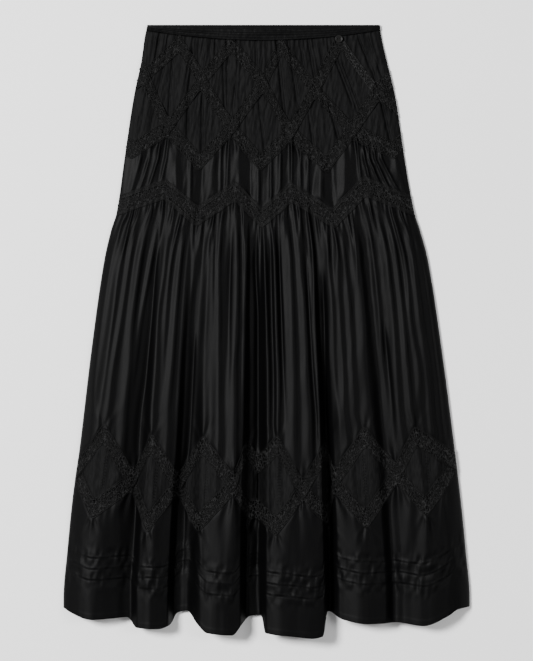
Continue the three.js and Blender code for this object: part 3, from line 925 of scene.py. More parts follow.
class Paint:
    """One finish being built as a node tree."""

    def __init__(self, name: str) -> None:
        """Start a material with an empty tree.

        Args:
            name: Material name.
        """
        self.material = bpy.data.materials.new(name)
        self.material.use_nodes = True
        self.tree = self.material.node_tree
        self.tree.nodes.clear()

    def node(
        self, kind: str, settings: dict | None = None, inputs: dict | None = None, output: int | str = 0
    ) -> Sock:
        """Add one node.

        Args:
            kind: Node type.
            settings: Node settings, set before its sockets.
            inputs: Values or links of its sockets, by name or number.
            output: The socket to give back.

        Returns:
            The node's output.
        """
        made = self.tree.nodes.new(kind)
        for name, value in (settings or {}).items():
            setattr(made, name, value)
        for key, value in (inputs or {}).items():
            socket = made.inputs[key]
            if isinstance(value, Sock):
                self.tree.links.new(value.socket, socket)
            else:
                socket.default_value = value
        return Sock(self, made.outputs[output])

    def chart(self, scale: tuple[float, float, float], which: str = "UV") -> Sock:
        """Give the piece's UV or Object coordinates, scaled."""
        source = self.node("ShaderNodeTexCoord", output=which)
        return self.node("ShaderNodeMapping", inputs={"Vector": source, "Scale": scale})

    def noise(self, scale: tuple[float, float, float], detail: float, which: str = "UV") -> Sock:
        """Give smooth noise from 0 to 1, with so many cells to a metre each way."""
        where = self.chart(scale, which)
        return self.node(
            "ShaderNodeTexNoise", {"normalize": True}, {"Vector": where, "Scale": 1.0, "Detail": detail}
        )

    def blend(self, share: Sock, low: Sock | Colour, high: Sock | Colour) -> Sock:
        """Blend two colours, each fixed or varying."""
        ends = {key: end if isinstance(end, Sock) else (*end, 1) for key, end in ((6, low), (7, high))}
        return self.node("ShaderNodeMix", {"data_type": "RGBA"}, {"Factor": share, **ends}, output=2)

    def scaled(self, colour: Sock, share: Sock) -> Sock:
        """Make a colour lighter or darker."""
        return self.node("ShaderNodeVectorMath", {"operation": "SCALE"}, {0: colour, "Scale": share})

    def attribute(self, name: str) -> Sock:
        """Give a value stored on the piece's points."""
        return self.node("ShaderNodeAttribute", {"attribute_name": name}, output="Fac")

    def part(self, where: Sock, axis: str) -> Sock:
        """Give one coordinate."""
        return self.node("ShaderNodeSeparateXYZ", inputs={"Vector": where}, output=axis)

    def bump(self, height: Sock, distance: float, strength: float = 1.0) -> Sock:
        """Turn a height of 0 to 1 into a normal, the distance being in millimetres."""
        return self.node(
            "ShaderNodeBump",
            inputs={"Height": height, "Distance": distance * MM, "Strength": strength}, output="Normal",
        )

    def finish(self, inputs: dict[str, object]) -> Material:
        """Close the tree with its shader, each of whose sockets takes a number or a link."""
        shader = self.node("ShaderNodeBsdfPrincipled", inputs=inputs)
        out = self.tree.nodes.new("ShaderNodeOutputMaterial")
        self.tree.links.new(shader.socket, out.inputs[0])
        return self.material


@dataclass(frozen=True)
class Satin:
    """Soft black satin: dark ground, low gloss along its folds, and a fine twill."""

    name: str = "black_satin"
    dark: Colour = (0.0007, 0.0007, 0.0008)
    light: Colour = (0.0014, 0.0014, 0.0015)
    roughness: float = 0.46
    specular: float = 0.050
    thread: float = 0.7

    def make(self) -> Material:
        """Build the material."""
        paint = Paint(self.name)
        chart = paint.chart((1000, 1000, 1))
        x, y = paint.part(chart, "X"), paint.part(chart, "Y")
        twill = ((x + y * 0.6) * (2 * math.pi / self.thread)).sine() * 0.5 + 0.5
        slub_and_sheen = paint.noise((900, 40, 1), 3.0)
        cloud = paint.noise((22, 9, 1), 3.0)
        # Lighter along the raised slubs that also shape the bump: painted sheen streaks; the cloud is random
        # tone.
        shade = cloud * 0.6 + slub_and_sheen * 0.4
        colour = paint.blend(shade, self.dark, self.light)
        rough = self.roughness + cloud * 0.10 - slub_and_sheen * 0.06
        normal = paint.bump(twill * 0.5 + slub_and_sheen * 0.5, 0.05)
        return paint.finish({
            "Specular IOR Level": self.specular, "Base Color": colour, "Roughness": rough, "Normal": normal,
        })


@dataclass(frozen=True)
class Voile:
    """Matte crinkled black voile."""

    name: str = "black_voile"
    dark: Colour = (0.0010, 0.0010, 0.0011)
    light: Colour = (0.0039, 0.0039, 0.0040)
    roughness: float = 0.62
    specular: float = 0.06
    crinkle_height: float = 0.35

    def make(self) -> Material:
        """Build the material."""
        paint = Paint(self.name)
        crinkle_and_shade = paint.noise((520, 90, 1), 4.0)
        fleck = paint.noise((1400, 1100, 1), 1.0)
        # Darker in the crinkles' hollows and lighter on their crests, following the bump: painted shade; the
        # flecks are random tone.
        shade = crinkle_and_shade.band(0.35, 0.65) * 0.7 + fleck * 0.3
        colour = paint.blend(shade, self.dark, self.light)
        normal = paint.bump(crinkle_and_shade * 0.8 + fleck * 0.2, self.crinkle_height)
        rough = self.roughness + fleck * 0.1
        return paint.finish({
            "Specular IOR Level": self.specular, "Base Color": colour, "Roughness": rough, "Normal": normal,
        })


@dataclass(frozen=True)
class LaceThread:
    """Matte black lace: thread painted pale over a near-black net, partly the lace's own pattern and partly
    painted highlights on the raised threads and painted shade in the openings, with denser cloth at its
    edges.
    """

    name: str = "black_lace"
    # Near-black: painted shade in the openings between the threads.
    net: Colour = (0.0001, 0.0001, 0.0001)
    edge: Colour = (0.0015, 0.0015, 0.0015)
    # Painted pale: painted highlights on the raised black threads.
    thread: Colour = (0.0150, 0.0150, 0.0151)
    # Strength of the painted sheen on the stretch that a band marks.
    lustre: float = 1.3
    roughness: float = 0.5
    specular: float = 0.05
    edge_share: float = 0.35
    mesh_every: float = 3.6
    relief: float = 2.0

    def make(self) -> Material:
        """Build the material on a chart in metres along and across the band."""
        paint = Paint(self.name)
        chart = paint.chart((1000 / self.mesh_every, 1000 / self.mesh_every, 1))
        worked = paint.attribute("worked")
        net = paint.node(
            "ShaderNodeTexVoronoi", {"feature": "DISTANCE_TO_EDGE"}, {"Vector": chart, "Scale": 1.0}
        )
        cord = 1 - net.band(0.03, 0.20)
        # Random speckle that lightens the threads and the corded edges in spots: painted glints; it also
        # roughens the bump.
        glint_speckle = paint.noise((420, 420, 1), 3.0)
        patch = paint.noise((90, 90, 1), 2.0)
        # Raised threads painted lighter than the net: the lace's pattern, with painted highlights on the
        # threads and painted shade in the openings.
        raised = cord * (0.35 + glint_speckle * 1.1)
        open_colour = paint.blend(raised, self.net, self.thread)
        edge_thread = tuple(self.edge_share * v for v in self.thread)
        edge_colour = paint.blend(glint_speckle.band(0.3, 0.7), self.edge, edge_thread)
        colour = paint.blend(worked, edge_colour, open_colour)
        # Random patches, plus the painted sheen that lightens one stretch of lace.
        bright = 0.75 + patch * 0.5 + paint.attribute("lustre") * self.lustre
        colour = paint.scaled(colour, bright)
        normal = paint.bump(raised * worked + glint_speckle * 0.4, self.relief)
        return paint.finish({
            "Roughness": self.roughness, "Specular IOR Level": self.specular,
            "Base Color": colour, "Normal": normal,
        })


@dataclass(frozen=True)
class Horn:
    """Polished dark button stock with a faint streak."""

    name: str = "black_button"
    dark: Colour = (0.0060, 0.0060, 0.0060)
    light: Colour = (0.0105, 0.0103, 0.0101)

    def make(self) -> Material:
        """Build the material."""
        paint = Paint(self.name)
        streak = paint.noise((900, 300, 900), 3.0, "Object")
        colour = paint.blend(streak, self.dark, self.light)
        rough = 0.3 + streak * 0.15
        return paint.finish({"Specular IOR Level": 0.1, "Base Color": colour, "Roughness": rough})


class Wardrobe:
    """The finishes, each made once."""

    def __init__(self) -> None:
        """Make every finish."""
        self.satin = Satin().make()
        # The same satin painted lighter for the waistband: painted light.
        self.casing = Satin("black_casing", (0.0013, 0.0013, 0.0014), (0.0024, 0.0024, 0.0025)).make()
        self.voile = Voile().make()
        self.lace = LaceThread().make()
        self.horn = Horn().make()

    def of(self, slot: Slot) -> Material:
        """Give the finish of a slot's plain cloth."""
        return {Slot.SATIN: self.satin, Slot.VOILE: self.voile, Slot.LACE: self.lace}[slot]


class Slot(Enum):
    """The record's material slots."""

    SATIN = "satin"
    VOILE = "voile"
    LACE = "lace"
    BUTTON = "button"


def dress(piece: Piece, material: Material, nodes: Sequence[str]) -> Piece:
    """Give a piece its finish and its body, and hide the imported parts of the nodes that it stands for."""
    piece.data.materials.clear()
    piece.data.materials.append(material)
    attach(piece, BODY)
    if nodes:
        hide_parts(*nodes)
    return piece


def cut_cloth(node: str, points: Array, chart: Array, wall: float, material: Material) -> Piece:
    """Make the cloth of one node: a sheet, thickened inwards from its outer face, and dressed.

    Args:
        node: The node that it stands for and is named after.
        points: Rows by columns by three, in metres.
        chart: Rows by columns by two, for the UV map.
        wall: Thickness in millimetres.
        material: Its finish.

    Returns:
        The piece.
    """
    piece = grid_object(node + "_cloth", points, chart)
    solid = piece.modifiers.new("wall", "SOLIDIFY")
    solid.thickness = wall * MM
    solid.offset = -1.0
    solid.use_rim = True
    return dress(piece, material, [node])


@dataclass
class Panel:
    """One front panel between two edges."""

    node: str
    upper: Edge
    lower: Edge
    columns: int
    rows: int
    cut: tuple[float, float]
    slot: Slot
    wall: float = 1.2
    start: float = 0.0
    end: float = 1.0
    area: float | None = None

    def shares(self) -> Array:
        """Give the rows' shares of the way from the upper to the lower edge."""
        return np.linspace(0, 1, self.rows)

    def downs(self, across: Array) -> Array:
        """Give the distance down of every point."""
        shares = self.shares()[:, None]
        upper, lower = self.upper(across[0])[None, :], self.lower(across[0])[None, :]
        return upper * (1 - shares) + lower * shares

    def grid(self) -> tuple[Array, Array]:
        """Give the across and down coordinates of every point."""
        line = np.linspace(self.start, self.end, self.columns)
        across, _ = lattice(line, self.shares())
        return across, self.downs(across)

    def height(self, across: Array, down: Array) -> Array:
        """Give the outer face's height."""
        return CLOTH.outer(across, down)

    def build(self, material: Material, with_pieces: Sequence[Piece] = ()) -> Piece:
        """Make the panel, dressed."""
        across, down = self.grid()
        fullness = self.cut[0] / ((OUTLINE.width(down).mean() * MM) * (self.end - self.start))
        chart = np.stack([OUTLINE.x(across, down) * MM * fullness, OUTLINE.y(down) * MM], axis=-1)
        points = place(across, down, self.height(across, down))
        piece = cut_cloth(self.node, points, chart, self.wall, material)
        LOG.info("%s: %d points", self.node, across.size)
        return piece


@dataclass
class Inset(Panel):
    """A diamond of crinkled voile with fine upright tucks and a column of small sprigs."""

    tuck_every: float = 6.0
    tuck_rise: float = 0.45
    tuck_half: float = 0.8
    sprig_every: float = 4.6
    sprig_size: float = 2.1
    sprig_side: float = 1.5
    sprig_lean: float = 0.8
    sprig_margin: float = 24.0

    def height(self, across: Array, down: Array) -> Array:
        """Give the outer face's height, with the tucks."""
        right = (across - (self.start + self.end) / 2) * OUTLINE.width(down)
        tuck = np.exp(-(((np.mod(right, self.tuck_every) - self.tuck_every / 2) / self.tuck_half) ** 2))
        return CLOTH.outer(across, down) + self.tuck_rise * tuck + INSET_CRINKLE.relief(across, down)

    def sprigs(self, finish: Material, motifs: Motifs) -> Sequence[Piece]:
        """Lay the small leaves in pairs down the middle."""
        middle = np.array([(self.start + self.end) / 2])
        low = float(self.upper(middle)[0]) + self.sprig_margin
        high = float(self.lower(middle)[0]) - self.sprig_margin
        downs = np.arange(low, high, self.sprig_every)
        along = np.repeat([[0.0, -1.0, 0.0]], len(downs), axis=0)
        parts = []
        for way in (-1, 1):
            across = middle[0] + way * self.sprig_side / OUTLINE.width(downs)
            points = place(across, downs, self.height(across, downs) + 0.25)
            spots = Spots(points, CLOTH.facing(across, downs), along).turned(way * self.sprig_lean)
            parts.append(motifs.scatter(motifs.leaf, spots, self.sprig_size, finish))
        return parts

    def dress_with(self, material: Material, thread: Material, motifs: Motifs) -> None:
        """Make the inset with its sprigs in a darker thread, dressed."""
        worked = dress(join(f"{self.node}_sprigs", self.sprigs(thread, motifs)), thread, [])
        self.build(material, [worked])


@dataclass
class HemTier(Panel):
    """The lowest tier, with three tucks folded down above the hem."""

    tucks: tuple[float, ...] = (93.0, 76.5, 60.0)
    tuck_depth: float = 3.6
    tuck_rise: float = 0.4
    tuck_drop: float = 0.8
    seam_depth: float = 0.42
    seam_half: float = 1.3
    sewn_middle: float = 76.0
    sewn_reach: float = 32.0
    hem_depth: float = 8.0
    hem_turn: float = 1.2
    hem_step: float = 0.2
    stitch_every: float = 4.0
    stitch_size: float = 1.3
    stitch_below: float = 1.2
    fine_from: float = 108.0
    fine_rows: int = 73

    def shares(self) -> Array:
        """Give one stop for each row; the true places come from downs."""
        return np.linspace(0, 1, self.rows + self.fine_rows)

    def downs(self, across: Array) -> Array:
        """Give the distances down, close together over the tucks and the hem."""
        line = across[0]
        upper, hem = self.upper(line)[None, :], self.lower(line)[None, :]
        coarse = np.linspace(0, 1, self.rows, endpoint=False)[:, None]
        fine = np.linspace(self.fine_from, 0, self.fine_rows)[:, None]
        top = upper * (1 - coarse) + (hem - self.fine_from) * coarse
        return np.concatenate([top, hem - fine], axis=0)

    def height(self, across: Array, down: Array) -> Array:
        """Give the outer face's height, with the tucks and the turned hem."""
        above = HEM(across) - down
        width = OUTLINE.width(down)
        total = CLOTH.outer(across, down)
        for i, tuck in enumerate(self.tucks):
            past = above - tuck - self.drift(across, width, i)
            rise, fall = past / self.tuck_depth, -past / self.tuck_drop
            profile = 1 - np.clip(np.where(past >= 0, rise, fall), 0, 1)
            gathered = 0.9 + 0.8 * GRAIN.line(across * width / 4.2 + 31 * i, 7.0 * i)
            total += self.tuck_rise * profile * gathered
            broken = GRAIN.line(across * width / 9 + 53 * i, 2.0)
            drawn = np.clip(0.6 + 1.4 * broken, 0, 1.4)
            total -= self.seam_depth * drawn * np.exp(-(((past + self.stitch_below) / self.seam_half) ** 2))
        near = np.exp(-(((above - self.sewn_middle) / self.sewn_reach) ** 4))
        total += near * GRAIN(across * width / 5.5 + 5, above / 11 + 60)
        return total + self.hem_step * (1 - np.clip((above - self.hem_depth) / self.hem_turn, 0, 1))

    @staticmethod
    def drift(across: Array, width: Array, tuck: int) -> Array:
        """Give how far a tuck strays from its line."""
        return 0.6 * GRAIN.line(across * width / 22 + 13 * tuck, 3.0 * tuck)

    def stitches(self, finish: Material, motifs: Motifs) -> Piece:
        """Lay a row of stitches under each tuck and along the turned hem, dressed."""
        across = np.arange(0.02, 0.98, self.stitch_every / float(OUTLINE.width(np.array(820.0))))
        parts = []
        for i, above in enumerate((*self.tucks, self.hem_depth)):
            down = HEM(across) - above + self.stitch_below
            if above > self.hem_depth:
                down = down - self.drift(across, OUTLINE.width(down), i)
            points = place(across, down, self.height(across, down))
            spots = Spots(points, CLOTH.facing(across, down), np.gradient(points, axis=0))
            parts.append(motifs.scatter(motifs.stitch, spots, self.stitch_size, finish))
        return dress(join(self.node + "_stitches", parts), finish, [])


@dataclass(frozen=True)
class LaceStyle:
    """How a band is made up, its places being shares of the way from its middle to its edge.

    Each cord has its place, its half width and its height in millimetres.
    """

    cords: tuple[tuple[float, float, float], ...]
    open_part: float

    def sides(self) -> Array:
        """Give the rows of points that the band needs across its width."""
        stops = {0.0, 0.2, 0.36, 1.0}
        for middle, half, _ in self.cords:
            stops |= {middle - half, middle, middle + half}
        kept = sorted(stop for stop in stops if stop <= 1)
        return np.array([-stop for stop in reversed(kept[1:])] + kept)

    def raised(self, side: Array) -> Array:
        """Give how far the cords stand up."""
        total = np.zeros_like(side)
        for middle, half, height in self.cords:
            total = np.maximum(total, height * np.clip(1 - np.abs(np.abs(side) - middle) / half, 0, 1))
        return total


NARROW_LACE = LaceStyle(((0.94, 0.05, 0.9), (0.80, 0.05, 0.4)), 0.86)
PIPED_LACE = LaceStyle(((0.94, 0.05, 1.1), (0.80, 0.05, 0.7), (0.62, 0.05, 0.6)), 0.58)


@dataclass
class LaceBand:
    """One lace band over the panels, with corded edges and flowers worked along it."""

    band: Band
    columns: int
    cut: tuple[float, float]
    style: LaceStyle = PIPED_LACE
    over: tuple[Band, ...] = ()
    gap: float = 0.35
    thickness: float = 0.9
    lift: float = 1.5
    lift_from: float = 6.0
    lift_over: float = 8.0
    wobble: float = 0.7
    ceiling: Edge = shifted(np.zeros_like, -1000.0)
    # Stretch across the band, from and to, painted lighter as painted sheen; equal ends give none.
    lustre: tuple[float, float] = (2.0, 2.0)
    flower_every: float = 6.6
    flower_size: float = 2.5
    leaf_size: float = 2.0
    leaf_lean: float = 0.7
    picot_every: float = 3.0
    picot_size: float = 0.8

    def crossing_lift(self, across: Array) -> Array:
        """Give how far the band rises where it lies over another."""
        total = np.zeros_like(across)
        height = LACE_HEIGHT[self.band]
        for other in self.over:
            apart = np.abs(CENTRE[self.band](across) - CENTRE[other](across))
            total = np.maximum(total, ease((height + self.lift_from - apart) / self.lift_over))
        return self.lift * total

    def downs(self, across: Array, side: Array) -> Array:
        """Give the distances down of places on the band."""
        wobble = self.wobble * GRAIN.line(across * 60 + 9, 5.0)
        middle = CENTRE[self.band](across) + wobble
        return np.maximum(middle + side * LACE_HEIGHT[self.band] / 2, self.ceiling(across))

    def surface(self, across: Array, side: Array, above: float = 0.0) -> Array:
        """Give points on the band's outer face.

        Args:
            across: Shares of the width.
            side: From -1 at the band's upper edge to 1 at its lower edge.
            above: Further height over the face.

        Returns:
            Points in metres.
        """
        down = self.downs(across, side)
        net = NET_RIPPLE.relief(across, down) * (np.abs(side) < self.style.open_part)
        raised = self.gap + self.thickness + self.style.raised(side) + net + above
        return place(across, down, CLOTH.outer(across, down) + raised + self.crossing_lift(across))

    def along(self, line: Array) -> Array:
        """Give the length along the band's middle at each of its columns, in metres."""
        middle = self.surface(line, np.zeros_like(line))
        steps = np.linalg.norm(np.diff(middle[:, :2], axis=0), axis=1)
        return np.concatenate([[0], np.cumsum(steps)])

    def spots(self, every: float, side: float, above: float, start: float = 0.0) -> Spots:
        """Give evenly spaced places along the band.

        Args:
            every: Distance between them, in millimetres.
            side: From -1 at the band's upper edge to 1 at its lower edge.
            above: Height over the face, in millimetres.
            start: Distance of the first from the band's left end.

        Returns:
            The places.
        """
        line = np.linspace(0.002, 0.998, 1500)
        length = self.along(line)
        stations = np.arange(start * MM, length[-1], every * MM)
        across = np.interp(stations, length, line)
        sides = np.full_like(across, side)
        points = self.surface(across, sides, above)
        ahead = self.surface(np.minimum(across + 0.001, 1), sides, above) - points
        return Spots(points, CLOTH.facing(across, self.downs(across, sides)), ahead)

    def build(self, material: Material, motifs: Motifs) -> Piece:
        """Make the band with its worked flowers and picots, dressed."""
        corners = np.array([corner[0] for corner in LACE_CORNERS[self.band]])
        line = np.unique(np.concatenate([np.linspace(0, 1, self.columns), corners]))
        sides = self.style.sides()
        across, side = lattice(line, sides)
        length, _ = lattice(self.along(line), sides)
        chart = np.stack([length, side * self.cut[1] / 2], axis=-1)
        points = self.surface(across, side)
        piece = cut_cloth(self.band.value, points, chart, self.thickness, material)
        # Painted sheen: the lace is painted lighter along this stretch.
        painted_sheen_mask = ease((across - self.lustre[0]) / 0.01) * (1 - ease((across - self.lustre[1]) / 0.01))
        mark(piece, "lustre", painted_sheen_mask)
        mark(piece, "worked", (np.abs(side) < self.style.open_part).astype(float))
        worked = self.work(material, motifs)
        LOG.info("%s: %d points", self.band.value, across.size)
        return piece

    def work(self, material: Material, motifs: Motifs) -> Piece:
        """Lay the flowers, the leaves half way between them, and the picots along the band."""
        leaf_side, half_way = self.style.open_part * 0.62, self.flower_every / 2
        flowers = self.spots(self.flower_every, 0.0, 0.05)
        parts = [motifs.scatter(motifs.flower, flowers, self.flower_size, material)]
        for side in (-1, 1):
            leaves = self.spots(self.flower_every, side * leaf_side, 0.05, half_way)
            turned = leaves.turned(-side * self.leaf_lean)
            parts.append(motifs.scatter(motifs.leaf, turned, self.leaf_size, material))
        for side, start in ((-0.99, 0.0), (0.99, self.picot_every / 2)):
            picots = self.spots(self.picot_every, side, -0.4, start)
            parts.append(motifs.scatter(motifs.bead, picots, self.picot_size, material))
        return dress(join(self.band.value + "_work", parts), material, [])


@dataclass
class FrontWaistband:
    """The elastic casing in front, with its stitched lines and fine ripples."""

    columns: int = 360
    rows: int = 27
    ripples: int = 70
    width: float = 350.0
    edge_turn: float = 14.0
    wall: float = 2.0
    stitch_size: float = 1.2
    crown: float = 0.6
    under: float = 2.8
    sewn_rows: tuple[float, ...] = (0.3, 0.56, 0.82)
    sewn_half: float = 0.035
    sewn_depth: float = 0.7
    stitch_every: float = 3.4

    def build(self, material: Material, motifs: Motifs) -> Piece:
        """Make the waistband with its stitches, dressed."""
        across, share = lattice(np.linspace(0, 1, self.columns), np.linspace(0, 1, self.rows))
        points = self.surface(across, share)
        piece = cut_cloth("waistband_front", points, points[..., :2], self.wall, material)
        rows = join("waistband_front_stitches", self.stitches(material, motifs))
        sewn = dress(rows, material, [])
        return piece

    def stitches(self, finish: Material, motifs: Motifs) -> Sequence[Piece]:
        """Lay the rows of stitches that hold the elastic."""
        across = np.arange(0.03, 0.97, self.stitch_every / self.width)
        ahead = np.repeat([[1.0, 0.0, 0.0]], len(across), axis=0)
        facing = np.repeat([[0.0, 0.0, 1.0]], len(across), axis=0)
        parts = []
        for row in self.sewn_rows:
            spots = Spots(self.surface(across, np.full_like(across, row)), facing, ahead)
            parts.append(motifs.scatter(motifs.stitch, spots, self.stitch_size, finish))
        return parts

    def surface(self, across: Array, share: Array) -> Array:
        """Give points on the outer face, the share going from 0 at its top to 1 at its foot."""
        down = band_top(across) * (1 - share) + band_bottom(across) * share
        edge = np.clip(np.minimum(across, 1 - across) * self.width / self.edge_turn, 0, 1)
        turned = np.sqrt(1 - (1 - edge) ** 2)
        base = self.under + self.wall + turned * CLOTH.level(across, down)
        width = OUTLINE.width(down)
        ripple = 0.16 * GRAIN(across * self.ripples, share * 1.5 + 4)
        ripple += 0.12 * GRAIN(across * width / 2.6, share * 5 + 8)
        ripple += 0.4 * GRAIN(across * width / 40, share * 9 + 30)
        crown = self.crown * (1 - (2 * share - 1) ** 2)
        sewn = sum(np.exp(-(((share - row) / self.sewn_half) ** 2)) for row in self.sewn_rows)
        return place(across, down, base + crown + ripple - self.sewn_depth * sewn)


@dataclass
class BackPanel:
    """One flat panel of the back, which lies on the surface."""

    node: str
    upper: Edge
    lower: Edge
    slot: Slot
    cut: tuple[float, float]
    area: float | None = None
    columns: int = 90
    rows: int = 8
    top: float = 1.35
    wall: float = 1.2

    def build(self, material: Material) -> Piece:
        """Make the panel, dressed."""
        across, share = lattice(np.linspace(0, 1, self.columns), np.linspace(0, 1, self.rows))
        down = self.upper(across) * (1 - share) + self.lower(across) * share
        ripple = 0.1 * GRAIN(across * OUTLINE.width(down) / 6, down / 60)
        chart = np.stack([OUTLINE.x(across, down), OUTLINE.y(down)], axis=-1) * MM
        points = place(across, down, self.top + ripple)
        piece = cut_cloth(self.node, points, chart, self.wall, material)
        return piece


@dataclass
class Button:
    """A small flat button with two holes and a raised rim."""

    radius: float = 5.5
    thick: float = 2.2
    sides: int = 48
    dish: float = 0.6
    hole: float = 0.8
    hole_apart: float = 2.6
    hole_deep: float = 1.2
    hole_sides: int = 16

    @staticmethod
    def ring(shape: bmesh.types.BMesh, radius: float, level: float, sides: int, right: float = 0.0) -> Ring:
        """Add a ring of points, measured in millimetres from the middle of the button's top."""
        turns = [2 * math.pi * i / sides for i in range(sides)]
        spots = [(right + radius * math.cos(turn), radius * math.sin(turn), level) for turn in turns]
        return [shape.verts.new((x * MM, y * MM, z * MM)) for x, y, z in spots]

    @staticmethod
    def bridge(shape: bmesh.types.BMesh, inner: Ring, outer: Ring) -> None:
        """Add the faces between two rings."""
        for i, (near, far) in enumerate(zip(inner, outer)):
            j = (i + 1) % len(inner)
            shape.faces.new((near, far, outer[j], inner[j]))

    def build(self, material: Material) -> Piece:
        """Make the button, dressed."""
        low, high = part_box("button")
        centre = Vector(((low.x + high.x) / 2, (low.y + high.y) / 2, high.z))
        shape = bmesh.new()
        rings = [self.ring(shape, share * self.radius, level, self.sides) for share, level in (
            (0.80, -0.55), (0.90, 0.0), (0.98, -0.15), (1.0, -0.7), (0.96, -self.thick),
        )]
        rings.append(self.ring(shape, 0.3, -self.thick, self.sides))
        for inner, outer in zip(rings, rings[1:]):
            self.bridge(shape, inner, outer)
        shape.faces.new(rings[-1])
        half = self.hole_apart / 2
        holes = [self.ring(shape, self.hole, -self.dish, self.hole_sides, right) for right in (-half, half)]
        edges = [shape.edges.get((a, b)) for a, b in zip(rings[0], rings[0][1:] + rings[0][:1])]
        for ring in holes:
            edges += [shape.edges.new((a, b)) for a, b in zip(ring, ring[1:] + ring[:1])]
            deep = [shape.verts.new((v.co.x, v.co.y, v.co.z - self.hole_deep * MM)) for v in ring]
            self.bridge(shape, ring, deep)
            shape.faces.new(deep)
        bmesh.ops.triangle_fill(shape, edges=edges, use_beauty=True, normal=(0, 0, 1))
        bmesh.ops.recalc_face_normals(shape, faces=shape.faces)
        mesh = bpy.data.meshes.new("button_disc")
        shape.to_mesh(mesh)
        shape.free()
        mesh.shade_smooth()
        for vertex in mesh.vertices:
            vertex.co += centre
        return dress(put("button_disc", mesh), material, ["button"])


@dataclass
class Studio:
    """The camera straight above, the pale floor and the soft lights."""

    distance: float = 4.5
    view_height: float = 0.9915
    floor_size: float = 12.0

    def camera(self) -> None:
        """Make the camera, looking straight down with the waist at the top of the picture."""
        data = bpy.data.cameras.new("camera")
        data.lens = data.sensor_width * self.distance / self.view_height
        data.clip_end = 100
        camera = put("camera", data)
        camera.location = (0.0, 0.0, self.distance)
        bpy.context.scene.camera = camera

    def floor(self) -> None:
        """Make the pale floor."""
        half = self.floor_size / 2
        corners = [[[side, end, 0.0] for side in (-half, half)] for end in (half, -half)]
        floor = grid_object("floor", np.array(corners))
        paint = Paint("pale_floor")
        soft = paint.noise((2, 2, 2), 2.0, "Object")
        colour = paint.blend(soft, (0.90, 0.90, 0.90), (0.92, 0.92, 0.92))
        matte = {"Roughness": 0.9, "Specular IOR Level": 0.1, "Base Color": colour}
        floor.data.materials.append(paint.finish(matte))

    def light(
        self, name: str, place_m: tuple[float, float, float], size: tuple[float, float], watts: float
    ) -> None:
        """Make one soft light that faces the garment."""
        data = bpy.data.lights.new(name, "AREA")
        data.shape = "RECTANGLE"
        data.size, data.size_y = size
        data.energy = watts
        light = put(name, data)
        light.location = place_m
        light.rotation_euler = (-Vector(place_m)).to_track_quat("-Z", "Y").to_euler()

    def lights(self) -> None:
        """Make the lights and the dim surroundings."""
        self.light("key_left", (-2.3, 0.9, 3.6), (1.1, 1.1), 420)
        self.light("fill_right", (2.6, 0.4, 3.2), (1.0, 1.6), 60)
        world = bpy.data.worlds.new("soft_surroundings")
        bpy.context.scene.world = world
        world.use_nodes = True
        background = world.node_tree.nodes["Background"]
        background.inputs["Color"].default_value = (1, 1, 1, 1)
        background.inputs["Strength"].default_value = 0.35


